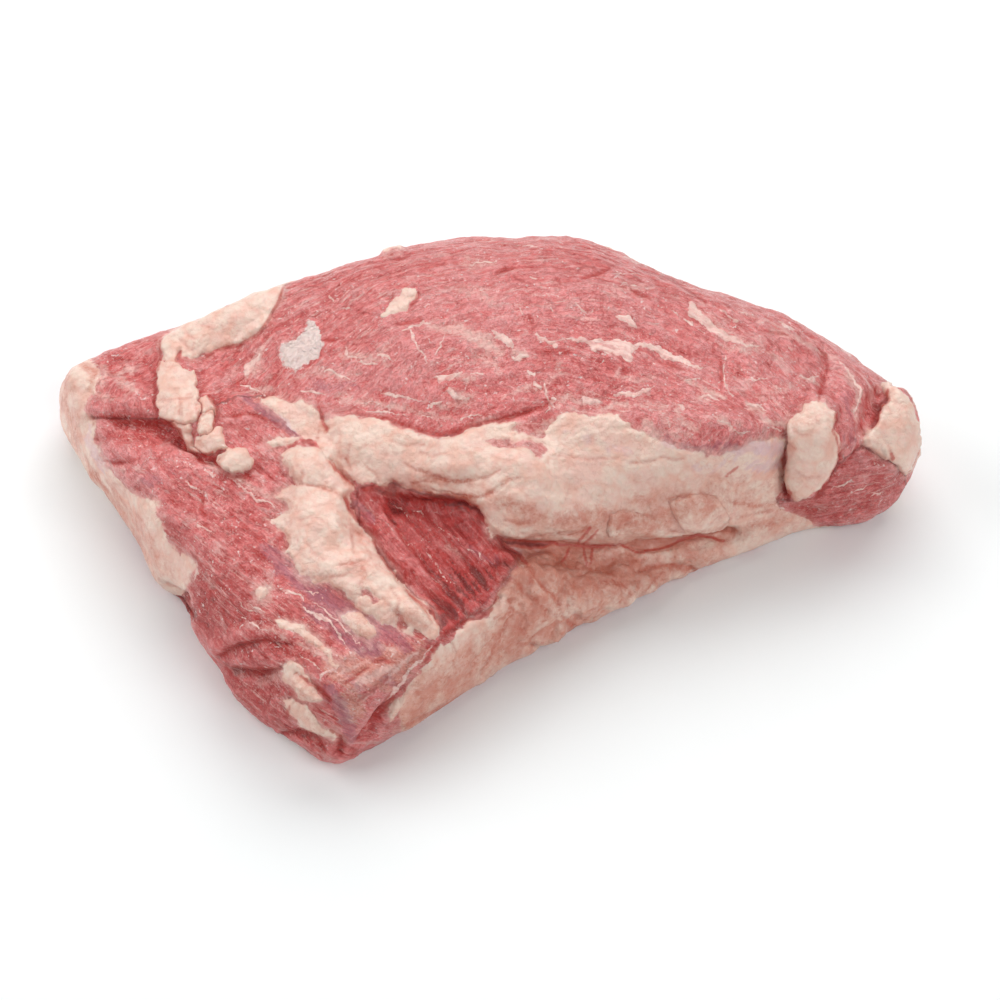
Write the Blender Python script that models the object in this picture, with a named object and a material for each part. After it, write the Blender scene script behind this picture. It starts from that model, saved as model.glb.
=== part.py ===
"""Raw tri-tip roast, as one closed solid resting on its flat underside.

The roast is a low, three-cornered piece of beef.  Its widest line, the rim, is a smooth closed
curve.  Rings run inwards from the rim to the middle, over the top and along the underside, and
each point of the top takes its height from the thickness measured at a few places.  Creases,
swellings and the thick fat that lies on the meat are then raised or sunk along the surface.
"""

import math

import bmesh
import bpy
import numpy as np
from mathutils import Vector, noise
from mathutils.bvhtree import BVHTree

MM = 0.001
NODE_NAME = "tri_tip_roast"

# The rim, anticlockwise from the right tip: x, y, height above the table, then the width of the
# shoulder that rises from it and its fullness: 2 is round, 1.3 nearly straight, 4 nearly square.
RIM = [
    (144, 19, 16, 24, 2.2),
    (138, 36, 15, 24, 2.0),
    (130, 46, 14, 30, 2.0),
    (114, 61, 13, 42, 2.0),
    (96, 71, 13, 46, 2.0),
    (75, 80, 13, 48, 2.0),
    (53, 94, 14, 54, 2.0),
    (33, 102, 15, 55, 2.0),
    (10, 104, 15, 54, 2.0),
    (-12, 104, 14, 50, 2.0),
    (-34, 99, 13, 46, 2.0),
    (-68, 86, 12, 40, 2.0),
    (-104, 70, 10, 30, 2.0),
    (-127, 58, 10, 20, 2.0),
    (-140, 48, 10, 13, 2.0),
    (-143, 37, 9, 10, 2.2),
    (-134, 19, 7, 9, 2.4),
    (-120, -4, 6, 9, 2.4),
    (-107, -27, 5, 10, 2.4),
    (-96, -43, 5, 13, 2.2),
    (-86, -61, 5, 17, 2.0),
    (-76, -78, 5, 17, 2.0),
    (-59, -92, 5, 14, 2.0),
    (-46, -100, 5, 11, 2.0),
    (-32, -93, 4, 9, 2.2),
    (-8, -74, 4, 10, 2.0),
    (16, -57, 4, 30, 1.7),
    (36, -44, 4, 50, 1.55),
    (50, -33, 4, 50, 1.55),
    (70, -24, 4, 48, 1.6),
    (90, -14, 4, 40, 1.7),
    (106, -6, 4, 26, 1.9),
    (128, -3, 5, 22, 2.0),
    (139, 7, 9, 22, 2.0),
]

# Thickness at places on the top: x, y, height above the table.
THICKNESS = [
    (25, 35, 60),
    (70, 32, 55),
    (-20, 45, 54),
    (0, 8, 54),
    (50, 5, 52),
    (95, 25, 50),
    (122, 22, 40),
    (136, 20, 34),
    (-60, 42, 45),
    (-100, 35, 36),
    (-130, 36, 29),
    (-60, 0, 41),
    (-95, -5, 35),
    (-115, 5, 32),
    (-20, -30, 38),
    (-62, -42, 36),
    (-30, -65, 35),
    (-50, -85, 30),
]
THICKNESS_REACH = 22

COLUMNS = 420
RINGS = 64
CENTRE = (5, 12)
UNDERSIDE_FLAT = 0.84

# Relief along the surface: height above it (below it when negative), the share of the half-width
# that slopes, and the line it follows as x, y, half-width.  A line on a steep side also has its
# height above the table; the others lie on the top, where they are dropped onto the surface.
RELIEF = {
    "fold across the left end": (-4.5, 1.0, [
        (-131, 19, 4), (-116, 16, 5), (-104, 13, 5), (-97, 4, 6), (-84, -6, 4),
    ]),
    "recess under the fold": (-2.5, 1.0, [(-123, 11, 7), (-104, 7, 9)]),
    "roll below the recess": (2.5, 1.0, [(-121, 1, 9), (-107, -6, 11), (-90, -13, 9)]),
    "swelling above the fold": (2.5, 1.0, [(-133, 36, 9), (-116, 27, 10)]),
    "upper seam": (-2.5, 1.0, [(-80, 27, 4), (-63, 14, 6), (-49, 0, 6)]),
    "middle seam": (-3.0, 1.0, [(-47, -9, 5), (-41, -21, 6), (-38, -34, 6)]),
    "lower seam": (-2.5, 1.0, [(-38, -34, 5), (-27, -50, 6), (-16, -67, 5)]),
    "hollow of the dark muscle": (-5.0, 1.0, [
        (-28, -25, 12), (-14, -37, 17), (-6, -50, 18), (-9, -62, 13),
    ]),
    "step under the fat band": (-5.0, 1.0, [(-28, -21, 5), (-12, -27, 7), (3, -37, 8)]),
    "crease under the big roll": (-10.0, 1.0, [
        (7, -40, 5), (14, -40, 8), (27, -35, 9), (43, -30, 8), (60, -25, 7, 15), (82, -18, 5, 13),
    ]),
    "big roll of fat": (5.0, 1.0, [
        (-9, -14, 14), (12, -22, 20), (34, -16, 24), (60, -11, 23), (84, -5, 16),
    ]),
    "lip of the roll": (2.5, 1.0, [(20, -30, 8), (44, -24, 9), (66, -19, 8)]),
    "round lump on the roll": (3.0, 0.6, [(66, -17, 8), (74, -15, 8)]),
    "crease low on the front": (-3.0, 1.0, [(30, -39, 5), (44, -32, 6, 13), (66, -26, 5, 6)]),
    "roll low on the front": (2.5, 1.0, [(16, -50, 8, 20), (36, -41, 9, 12), (54, -32, 7, 7)]),
    "groove beside the flap": (-3.5, 1.0, [(95, -2, 4), (95, -5, 5, 34), (96, -7, 4, 24)]),
    "flap of fat": (4.0, 0.45, [(108, 10, 6), (105, 0, 8), (104, -4, 8.5, 35), (103, -6, 6, 25)]),
    "gap beside the knob": (-5.0, 1.0, [(130, 25, 4), (126, 16, 5), (123, 7, 4)]),
    "knob of fat": (5.5, 0.6, [(134, 22, 7), (135, 13, 9), (132, 5, 8)]),
    "ledge over the left wall": (2.0, 1.0, [(-82, -66, 6, 20), (-72, -70, 6), (-59, -74, 5)]),
    "recess in the left wall": (-3.5, 1.0, [(-79, -74, 7, 16), (-66, -82, 7, 22)]),
    "notch in the left wall": (-6.0, 1.0, [(-102, -36, 6, 6), (-94, -46, 6, 14)]),
    "swelling past the notch": (2.5, 1.0, [(-91, -56, 9, 12), (-83, -66, 8, 16)]),
    "fold at the front corner": (-2.5, 1.0, [(-61, -90, 4, 9), (-44, -97, 5, 14)]),
    "fold round the corner": (-2.5, 1.0, [(-35, -95, 4, 11), (-26, -86, 5, 25)]),
    "thin leaf of fat": (1.8, 0.5, [(-104, 47, 6), (-95, 51, 8), (-82, 56, 7.5), (-70, 64, 4)]),
    "fat below the leaf": (2.4, 0.5, [(-102, 36, 7), (-101, 25, 7.5), (-99, 14, 6)]),
    "small rolls of fat": (3.0, 0.6, [(-92, 21, 3.5), (-92, 10, 6), (-87, 0, 5)]),
    "round lump of fat": (3.5, 0.6, [(-79, -7, 6.5)]),
    "island of fat": (3.2, 0.5, [
        (-55, -7, 8), (-51, -19, 9.5), (-54, -30, 10), (-48, -44, 10.5), (-33, -57, 9),
        (-18, -66, 6),
    ]),
    "band of fat over the seam": (2.2, 0.6, [
        (-70, 17, 4), (-49, 5, 8), (-27, -7, 12), (-9, -13, 12),
    ]),
    "hollow behind the leaf": (-1.5, 1.0, [(-84, 34, 15), (-64, 26, 12)]),
    "dip along the silver streak": (-1.2, 1.0, [(34, 34, 8), (58, 27, 9), (80, 21, 7)]),
    "fold at the right end": (-1.8, 1.0, [(112, 36, 5), (110, 23, 5), (108, 15, 4)]),
    "seam along the back": (-3.0, 1.0, [
        (-64, 82, 6, 25), (-22, 96, 8, 30), (28, 99, 8, 31), (72, 77, 6, 30),
    ]),
    "fat low on the back": (2.2, 0.6, [(-34, 100, 8, 13), (12, 106, 10, 13), (50, 96, 8, 13)]),
    "fold down the back": (-2.5, 1.0, [(-98, 69, 5, 30), (-92, 74, 6, 12)]),
}
# Unevenness everywhere but on the underside: wavelength and height of each layer.
LUMPS = [(46, 1.6), (21, 1.0), (11, 0.45)]
LUMPS_START = 4

FINE_VOXEL = 1.6
TRIANGLES = 11400
FLAT_WITHIN = 0.5
MEAT = (0.52, 0.20, 0.19, 1)


def clear_scene():
    for existing in list(bpy.data.objects):
        bpy.data.objects.remove(existing, do_unlink=True)


def closed_curve(points, count):
    """Evenly spaced samples of the smooth closed curve through the points, all columns alike."""
    points = np.array(points, float)
    steps = 40
    before, after, beyond = (np.roll(points, shift, axis=0) for shift in (1, -1, -2))
    samples = []
    for t in np.arange(steps) / steps:
        samples.append(
            0.5
            * (
                2 * points
                + (after - before) * t
                + (2 * before - 5 * points + 4 * after - beyond) * t * t
                + (3 * points - before - 3 * after + beyond) * t**3
            )
        )
    dense = np.stack(samples, axis=1).reshape(-1, points.shape[1])
    dense = np.vstack([dense, dense[:1]])
    along = np.concatenate([[0], np.cumsum(np.linalg.norm(np.diff(dense[:, :2], axis=0), axis=1))])
    wanted = np.arange(count) / count * along[-1]
    return np.stack([np.interp(wanted, along, column) for column in dense.T], axis=1)


def thickness_at(x, y):
    """Height of the top before the shoulder falls away to the rim."""
    weights, heights = 0, 0
    for place_x, place_y, height in THICKNESS:
        weight = np.exp(-((x - place_x) ** 2 + (y - place_y) ** 2) / (2 * THICKNESS_REACH**2))
        weights = weights + weight
        heights = heights + weight * height
    return heights / weights


def ring_positions():
    """Shares of the way from the middle to the rim, closest together at the rim."""
    return np.sin(np.linspace(0, math.pi / 2, RINGS + 1))[1:]


def base_mesh():
    """Top and underside as rings of points that share the rim."""
    rim = closed_curve(RIM, COLUMNS)
    mesh = bmesh.new()
    tops, undersides = [], []
    for share in ring_positions():
        x = CENTRE[0] + share * (rim[:, 0] - CENTRE[0])
        y = CENTRE[1] + share * (rim[:, 1] - CENTRE[1])
        rim_height, width, fullness = rim[:, 2:].T
        inwards = (1 - share) * np.hypot(rim[:, 0] - CENTRE[0], rim[:, 1] - CENTRE[1])
        short = 1 - np.minimum(inwards / width, 1)
        rise = (1 - short**fullness) ** (1 / fullness)
        top = rim_height + (thickness_at(x, y) - rim_height) * rise
        past_flat = max(0.0, (share - UNDERSIDE_FLAT) / (1 - UNDERSIDE_FLAT))
        underside = rim_height * (1 - math.sqrt(max(0.0, 1 - past_flat**2)))
        tops.append([mesh.verts.new(Vector(p) * MM) for p in zip(x, y, top)])
        undersides.append([mesh.verts.new(Vector(p) * MM) for p in zip(x, y, underside)])
    for under, over in zip(undersides[-1], tops[-1]):
        under.co = over.co
    crown = thickness_at(np.array(CENTRE[0]), np.array(CENTRE[1]))
    top_middle = mesh.verts.new(Vector((*CENTRE, float(crown))) * MM)
    under_middle = mesh.verts.new(Vector((*CENTRE, 0)) * MM)
    for column in range(COLUMNS):
        following = (column + 1) % COLUMNS
        mesh.faces.new((top_middle, tops[0][column], tops[0][following]))
        mesh.faces.new((under_middle, undersides[0][following], undersides[0][column]))
        for inner, outer in zip(tops, tops[1:]):
            mesh.faces.new((inner[column], outer[column], outer[following], inner[following]))
        for inner, outer in zip(undersides, undersides[1:]):
            mesh.faces.new((inner[column], inner[following], outer[following], outer[column]))
    bmesh.ops.remove_doubles(mesh, verts=mesh.verts, dist=0.00001)
    bmesh.ops.recalc_face_normals(mesh, faces=mesh.faces)
    data = bpy.data.meshes.new(NODE_NAME)
    mesh.to_mesh(data)
    mesh.free()
    return data


def placed_line(line, top):
    """The line's points in space, those with no height dropped onto the top."""
    placed = []
    for x, y, half_width, *height in line:
        if not height:
            above = Vector((x, y, 200)) * MM
            height = [top.ray_cast(above, Vector((0, 0, -1)))[0].z / MM]
        placed.append((x, y, height[0], half_width))
    if len(placed) == 1:
        placed = placed * 2
    return np.array(placed, float)


def near_line(points, line):
    """1 on the line's middle, falling to 0 at its half-width, for every point."""
    nearest = np.zeros(len(points))
    for start, end in zip(line[:-1], line[1:]):
        along = end[:3] - start[:3]
        reach = max(float(along @ along), 1e-9)
        t = np.clip((points - start[:3]) @ along / reach, 0, 1)
        gap = np.linalg.norm(points - start[:3] - t[:, None] * along, axis=1)
        nearest = np.maximum(nearest, 1 - gap / (start[3] + t * (end[3] - start[3])))
    return nearest


def smooth_step(values):
    values = np.clip(values, 0, 1)
    return values * values * (3 - 2 * values)


def lump_height(point):
    height = 0
    for layer, (wavelength, amount) in enumerate(LUMPS):
        height += amount * noise.noise(point / wavelength + Vector((layer * 17, 3, 9)))
    return height


def raise_relief(data):
    """Moves each point along its normal by the relief and the unevenness."""
    top = BVHTree.FromPolygons(
        [vertex.co for vertex in data.vertices], [face.vertices for face in data.polygons]
    )
    points = np.array([vertex.co for vertex in data.vertices]) / MM
    normals = np.array([vertex.normal for vertex in data.vertices])
    height = np.array([lump_height(Vector(point)) for point in points])
    for amount, slope, line in RELIEF.values():
        height += amount * smooth_step(near_line(points, placed_line(line, top)) / slope)
    height *= smooth_step(points[:, 2] / LUMPS_START)
    points += normals * height[:, None]
    for vertex, point in zip(data.vertices, points):
        vertex.co = Vector(point) * MM


def apply_modifier(roast, kind, **settings):
    modifier = roast.modifiers.new(kind.title(), kind)
    for name, value in settings.items():
        setattr(modifier, name, value)
    bpy.ops.object.modifier_apply(modifier=modifier.name)


def settle(data):
    """Lays the underside flat on the table and centres the roast over the origin."""
    corners = np.array([vertex.co for vertex in data.vertices])
    middle = (corners.min(axis=0) + corners.max(axis=0)) / 2
    floor = corners[:, 2].min()
    for vertex in data.vertices:
        height = vertex.co.z - floor
        vertex.co.x -= middle[0]
        vertex.co.y -= middle[1]
        vertex.co.z = 0 if height < FLAT_WITHIN * MM else height


def meat_material():
    material = bpy.data.materials.new("raw_beef")
    material.use_nodes = True
    surface = material.node_tree.nodes["Principled BSDF"]
    surface.inputs["Base Color"].default_value = MEAT
    surface.inputs["Roughness"].default_value = 0.4
    surface.inputs["Metallic"].default_value = 0
    return material


def main():
    clear_scene()
    roast = bpy.data.objects.new(NODE_NAME, base_mesh())
    bpy.context.scene.collection.objects.link(roast)
    bpy.context.view_layer.objects.active = roast
    roast.select_set(True)
    apply_modifier(roast, "REMESH", mode="VOXEL", voxel_size=FINE_VOXEL * MM)
    raise_relief(roast.data)
    apply_modifier(roast, "REMESH", mode="VOXEL", voxel_size=FINE_VOXEL * MM)
    settle(roast.data)
    share = TRIANGLES / (2 * len(roast.data.polygons))
    apply_modifier(roast, "DECIMATE", ratio=share)
    settle(roast.data)
    roast.data.shade_smooth()
    roast.data.materials.append(meat_material())


main()
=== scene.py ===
import math

import bmesh
import bpy
import numpy as np
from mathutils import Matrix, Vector
from mathutils.bvhtree import BVHTree
from mathutils.kdtree import KDTree


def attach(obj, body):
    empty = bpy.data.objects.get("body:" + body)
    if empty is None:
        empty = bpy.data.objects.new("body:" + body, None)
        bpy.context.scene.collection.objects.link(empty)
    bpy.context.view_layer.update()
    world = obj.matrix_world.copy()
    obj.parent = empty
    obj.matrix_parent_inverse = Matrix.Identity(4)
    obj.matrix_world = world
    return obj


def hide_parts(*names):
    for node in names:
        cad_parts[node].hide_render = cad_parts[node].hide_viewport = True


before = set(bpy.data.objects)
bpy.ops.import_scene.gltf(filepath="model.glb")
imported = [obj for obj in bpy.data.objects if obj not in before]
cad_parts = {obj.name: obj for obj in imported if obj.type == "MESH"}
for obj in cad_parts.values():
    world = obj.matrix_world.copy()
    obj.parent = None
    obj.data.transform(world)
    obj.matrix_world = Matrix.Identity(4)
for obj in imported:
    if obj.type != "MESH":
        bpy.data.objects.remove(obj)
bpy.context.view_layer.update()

MM = 0.001

# ---------------------------------------------------------------------------------------------
# The working sheet: where things lie on the roast is given on a flat sheet seen by the camera,
# across to the right and down, about three units to the millimetre.
# ---------------------------------------------------------------------------------------------
CAMERA_RAISED = math.radians(50)
CAMERA_AWAY = 925.0
CAMERA_AIM = np.array([4.85, 5.46, 0.0])
CAMERA_LENS = 100
CAMERA_SENSOR = 36
SHEET_MIDDLE = 500.0
SHEET_SIDE = 1000.0
SHEET_PER_MM = 3
RIGHT = np.array([1.0, 0.0, 0.0])
UP = np.array([0.0, math.sin(CAMERA_RAISED), math.cos(CAMERA_RAISED)])
BACK = np.array([0.0, -math.cos(CAMERA_RAISED), math.sin(CAMERA_RAISED)])
CAMERA_PLACE = CAMERA_AIM + BACK * CAMERA_AWAY
SHEET_PER_SLOPE = CAMERA_LENS / CAMERA_SENSOR * SHEET_SIDE


def to_sheet(points):
    """Sheet places of points in space (mm)."""
    away = points - CAMERA_PLACE
    depth = -(away @ BACK)
    across = SHEET_MIDDLE + SHEET_PER_SLOPE * (away @ RIGHT) / depth
    down = SHEET_MIDDLE - SHEET_PER_SLOPE * (away @ UP) / depth
    return np.stack([across, down], axis=1)


def sheet_ray(across, down):
    """Direction in space from the camera through a sheet place."""
    slope_right = (across - SHEET_MIDDLE) / SHEET_PER_SLOPE
    slope_up = (SHEET_MIDDLE - down) / SHEET_PER_SLOPE
    return Vector(RIGHT * slope_right + UP * slope_up - BACK).normalized()


# ---------------------------------------------------------------------------------------------
# Helpers for numbers: unevenness, soft steps and distances on the sheet
# ---------------------------------------------------------------------------------------------
GRADIENTS = np.array(
    [
        (1, 1, 0), (-1, 1, 0), (1, -1, 0), (-1, -1, 0), (1, 0, 1), (-1, 0, 1),
        (1, 0, -1), (-1, 0, -1), (0, 1, 1), (0, -1, 1), (0, 1, -1), (0, -1, -1),
    ],
    float,
)


def wander(points, size, seed=0):
    """Smooth unevenness between about -1 and 1, its swells one size apart."""
    points = np.asarray(points, float)
    if points.shape[1] == 2:
        points = np.hstack([points, np.zeros((len(points), 1))])
    places = points / size + 31.7 * seed + 0.37
    cells = np.floor(places).astype(np.int64)
    part = places - cells
    blend = part**3 * (part * (part * 6 - 15) + 10)
    total = np.zeros(len(points))
    for corner in np.ndindex(2, 2, 2):
        cell = cells + corner
        key = cell[:, 0] * 73856093 ^ cell[:, 1] * 19349663 ^ cell[:, 2] * 83492791
        key = (key ^ (key >> 11)) * 2654435761 & 0x7FFFFFFF
        gradient = GRADIENTS[(key >> 7) % 12]
        weight = np.ones(len(points))
        for axis in range(3):
            weight *= blend[:, axis] if corner[axis] else 1 - blend[:, axis]
        total += weight * ((part - corner) * gradient).sum(axis=1)
    return total * 1.4


def rough(points, size, seed=0, octaves=3):
    """Unevenness with finer unevenness on it."""
    total = np.zeros(len(points))
    for octave in range(octaves):
        total += wander(points, size / 2**octave, seed + 5 * octave) * 0.55**octave
    return total


def pushes(points, size, seeds, octaves=1):
    """An uneven push in each direction, one seed for each."""
    return np.stack([rough(points, size, seed, octaves) for seed in seeds], axis=1)


def step(low, high, values):
    """None below the low value, one above the high one, with a soft rise between."""
    share = np.clip((values - low) / (high - low), 0, 1)
    return share * share * (3 - 2 * share)


def inside(places, outline, reach=40):
    """How far inside the outline each sheet place lies, negative outside, down to -reach."""
    outline = np.array(outline, float)
    low, high = outline.min(axis=0) - reach, outline.max(axis=0) + reach
    near = np.nonzero(((places > low) & (places < high)).all(axis=1))[0]
    result = np.full(len(places), -float(reach))
    spot = places[near]
    nearest = np.full(len(spot), float(reach))
    within = np.zeros(len(spot), bool)
    for start, end in zip(outline, np.roll(outline, -1, axis=0)):
        along = end - start
        share = np.clip((spot - start) @ along / max(along @ along, 1e-9), 0, 1)
        nearest = np.minimum(nearest, np.linalg.norm(spot - start - share[:, None] * along, axis=1))
        crosses = (start[1] > spot[:, 1]) != (end[1] > spot[:, 1])
        rise = end[1] - start[1] if end[1] != start[1] else 1e-9
        within ^= crosses & (spot[:, 0] < start[0] + (spot[:, 1] - start[1]) * along[0] / rise)
    result[near] = np.where(within, nearest, -nearest)
    return result


def along_line(places, line, reach=40):
    """How far within a line's own half-width each sheet place lies, negative outside it."""
    line = np.array(line, float)
    low, high = line[:, :2].min(axis=0) - reach, line[:, :2].max(axis=0) + reach
    near = np.nonzero(((places > low) & (places < high)).all(axis=1))[0]
    result = np.full(len(places), -float(reach))
    spot = places[near]
    best = np.full(len(spot), -float(reach))
    for start, end in zip(line[:-1], line[1:]):
        along = end[:2] - start[:2]
        share = np.clip((spot - start[:2]) @ along / max(along @ along, 1e-9), 0, 1)
        gap = np.linalg.norm(spot - start[:2] - share[:, None] * along, axis=1)
        best = np.maximum(best, start[2] + share * (end[2] - start[2]) - gap)
    result[near] = best
    return result


def inside_any(places, outlines, reach=40):
    """How far inside the deepest of several outlines each sheet place lies."""
    return np.max([inside(places, outline, reach) for outline in outlines], axis=0)


def clear_of(depth, places, gaps, reach=40):
    """Distance inside a shape, less the gaps cut into it."""
    for gap in gaps:
        depth = np.minimum(depth, -inside(places, gap, reach))
    return depth


def within_width(places, line, reach=40):
    """How far within a line each sheet place lies, as a share of its widest half-width."""
    return along_line(places, line, reach) / max(row[2] for row in line)


# ---------------------------------------------------------------------------------------------
# Where the fat, the films, the cuts and the streaks lie, and where light and shade are painted
# ---------------------------------------------------------------------------------------------
FAT_COVER = [
    (258, 398), (272, 397), (285, 400), (300, 402), (311, 405), (318, 412), (321, 420), (332, 417),
    (345, 416), (358, 418), (372, 417), (390, 421), (400, 428), (420, 434), (440, 437), (455, 436),
    (463, 433), (471, 428), (482, 424), (500, 422), (515, 422), (530, 424), (543, 431), (552, 425),
    (557, 418), (562, 413), (570, 411), (577, 413), (583, 415), (600, 416), (609, 414), (616, 413),
    (620, 417), (627, 424), (636, 430), (648, 434), (656, 439), (668, 444), (686, 449), (702, 451),
    (716, 455), (730, 452), (742, 446), (757, 441), (772, 438), (786, 438), (787, 452), (784, 466),
    (783, 480), (777, 498), (781, 508),
    (800, 516), (812, 522), (840, 560), (700, 640), (560, 700), (440, 770), (402, 760), (400, 730),
    (400, 718), (398, 706), (402, 694), (412, 678), (428, 660), (440, 645), (452, 638), (462, 626),
    (470, 620), (484, 616), (494, 604), (500, 592), (507, 582), (516, 570), (521, 556), (510, 546),
    (500, 540), (490, 538), (484, 526), (480, 512), (468, 500), (452, 497), (444, 494), (430, 491),
    (412, 488), (396, 484), (382, 486), (364, 484), (352, 484), (342, 472), (332, 460), (320, 450),
    (305, 441), (298, 434), (286, 425), (276, 414), (266, 405),
]
COVER_GAPS = [
    [(486, 442), (495, 439), (510, 441), (524, 441), (536, 442), (546, 445), (549, 450), (545, 455),
     (539, 459), (535, 455), (530, 450), (523, 447), (510, 446), (496, 446)],
    [
        (510, 431), (520, 427), (531, 428), (541, 430), (546, 434), (540, 437), (529, 435),
        (519, 434),
    ],
    [(516, 425), (527, 422), (540, 426), (533, 429), (523, 428)],
    [(302, 441), (308, 437), (314, 441), (318, 447), (310, 449)],
]
ISLAND = [
    (281, 456), (287, 450), (297, 447), (309, 447), (321, 450), (332, 459), (342, 471), (352, 483),
    (356, 491), (349, 497), (352, 508), (358, 520), (364, 531), (372, 541), (381, 553), (390, 566),
    (398, 576), (406, 588), (416, 597), (427, 603), (432, 612), (438, 624), (441, 633), (434, 640),
    (420, 636), (404, 632), (392, 626), (381, 621), (370, 616), (357, 612), (356, 606), (350, 598),
    (342, 590), (330, 584), (318, 583), (308, 580), (300, 573), (290, 560), (283, 552), (288, 545),
    (289, 538), (282, 534), (276, 528), (267, 519), (278, 518), (286, 513), (290, 508), (284, 503),
    (276, 497), (284, 490), (297, 485), (293, 478), (288, 469), (281, 463),
]
ISLAND_GAPS = [
    [
        (358, 590), (363, 586), (369, 589), (374, 596), (378, 600), (372, 602), (364, 597),
        (358, 595),
    ],
    [(392, 611), (397, 613), (401, 617), (396, 617)],
    [(396, 619), (402, 620), (408, 627), (404, 631), (398, 626)],
    [(414, 630), (420, 631), (427, 639), (420, 645), (414, 640)],
    [(429, 611), (434, 610), (438, 616), (434, 619), (430, 616)],
]

LEFT_STRIP = [
    (60, 350), (76, 358), (90, 357), (97, 366), (100, 379), (98, 392), (90, 398), (85, 408),
    (88, 416), (95, 421), (96, 432), (97, 443), (101, 455), (107, 466), (118, 478), (128, 488),
    (137, 496), (148, 500), (157, 503), (160, 515), (163, 527), (170, 540), (180, 556),
    (184, 554), (192, 558), (197, 564), (193, 572), (189, 582), (187, 594), (176, 599), (150, 600),
    (90, 520), (40, 420),
]
SMALL_FAT = [
    [
        (341, 614), (352, 611), (362, 614), (372, 625), (376, 634), (370, 642), (358, 636),
        (347, 626),
    ],
    [(275, 619), (285, 620), (300, 625), (311, 632), (319, 640), (327, 650), (335, 660), (341, 669),
     (334, 666), (325, 655), (314, 645), (302, 637), (290, 632), (279, 627)],
    [(281, 666), (290, 660), (298, 663), (304, 672), (311, 680), (318, 690), (325, 699), (318, 704),
     (306, 700), (296, 690), (286, 680)],
    [(283, 701), (296, 698), (307, 706), (315, 718), (323, 728), (335, 731), (341, 738), (330, 738),
     (316, 736), (304, 728), (292, 714)],
    [(388, 714), (392, 701), (400, 696), (402, 706), (397, 718), (391, 722)],
    [(255, 589), (262, 585), (268, 590), (267, 598), (260, 601), (255, 596)],
    [(266, 442), (276, 438), (288, 438), (300, 436), (296, 443), (284, 447), (272, 447)],
    [(382, 251), (388, 246), (396, 243), (404, 246), (402, 250), (392, 253), (386, 255)],
]
SKIN_TAN = [
    [(326, 664), (346, 656), (372, 651), (400, 645), (426, 644), (428, 655), (412, 672), (398, 686),
     (388, 692), (374, 688), (360, 692), (344, 688), (328, 684)],
    [
        (720, 474), (742, 470), (764, 476), (784, 480), (776, 500), (760, 512), (736, 520),
        (726, 500),
    ],
    [(346, 690), (366, 696), (362, 712), (352, 728), (342, 722), (336, 704)],
]

SILVER_PATCH = [
    (290, 340), (298, 336), (303, 328), (308, 322), (314, 322), (318, 329), (322, 338), (326, 345),
    (320, 352), (317, 358), (309, 362), (300, 368), (292, 371), (285, 367), (284, 358), (279, 352),
    (285, 346),
]
FILMS = [
    (0.9, [(246, 398, 5), (262, 410, 6), (280, 422, 6), (296, 434, 5)]),
    (0.7, [(262, 548, 8), (280, 556, 12), (296, 576, 12)]),
    (1.0, [(306, 588, 6), (324, 596, 12), (344, 612, 8)]),
    (0.8, [(304, 604, 6), (322, 618, 9), (344, 640, 8)]),
    (1.0, [(346, 634, 8), (360, 648, 9)]),
    (1.0, [(368, 622, 6), (382, 634, 10), (400, 640, 5)]),
    (0.45, [(340, 672, 9), (362, 688, 8)]),
    (0.7, [(330, 692, 8), (340, 710, 8), (346, 732, 6)]),
    (0.22, [(556, 312, 14), (600, 318, 16), (640, 332, 10), (672, 348, 8)]),
    (0.55, [(686, 446, 5), (712, 448, 7), (738, 448, 8)]),
    (0.95, [(738, 450, 7), (762, 448, 10), (780, 448, 8)]),
    (0.6, [(748, 466, 8), (776, 464, 8)]),
    (0.4, [(556, 428, 10), (590, 436, 14), (620, 448, 14)]),
    (1.0, [(280, 566, 8), (302, 582, 12), (324, 598, 13), (342, 612, 10)]),
    (1.0, [(344, 606, 9), (360, 628, 11), (374, 650, 10)]),
    (1.0, [(374, 618, 8), (388, 632, 10), (404, 646, 8)]),
    (0.40, [(384, 680, 8), (396, 684, 7)]),
    (0.8, [(330, 690, 9), (344, 712, 8), (352, 736, 6)]),
    (0.6, [(668, 444, 6), (684, 448, 6)]),
    (0.5, [(510, 548, 6), (536, 552, 6)]),
    (0.7, [(88, 424, 3), (92, 440, 4), (97, 456, 4), (106, 470, 3)]),
    (0.5, [(150, 480, 14), (166, 476, 12)]),
    (0.5, [(316, 384, 8), (330, 390, 8), (352, 384, 8)]),
    (0.5, [(700, 470, 8), (736, 458, 6)]),
    (0.5, [(846, 400, 8), (852, 440, 8)]),
    (0.6, [(358, 506, 6), (372, 518, 7)]),
    (0.5, [(474, 548, 8), (494, 562, 8)]),
]
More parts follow.
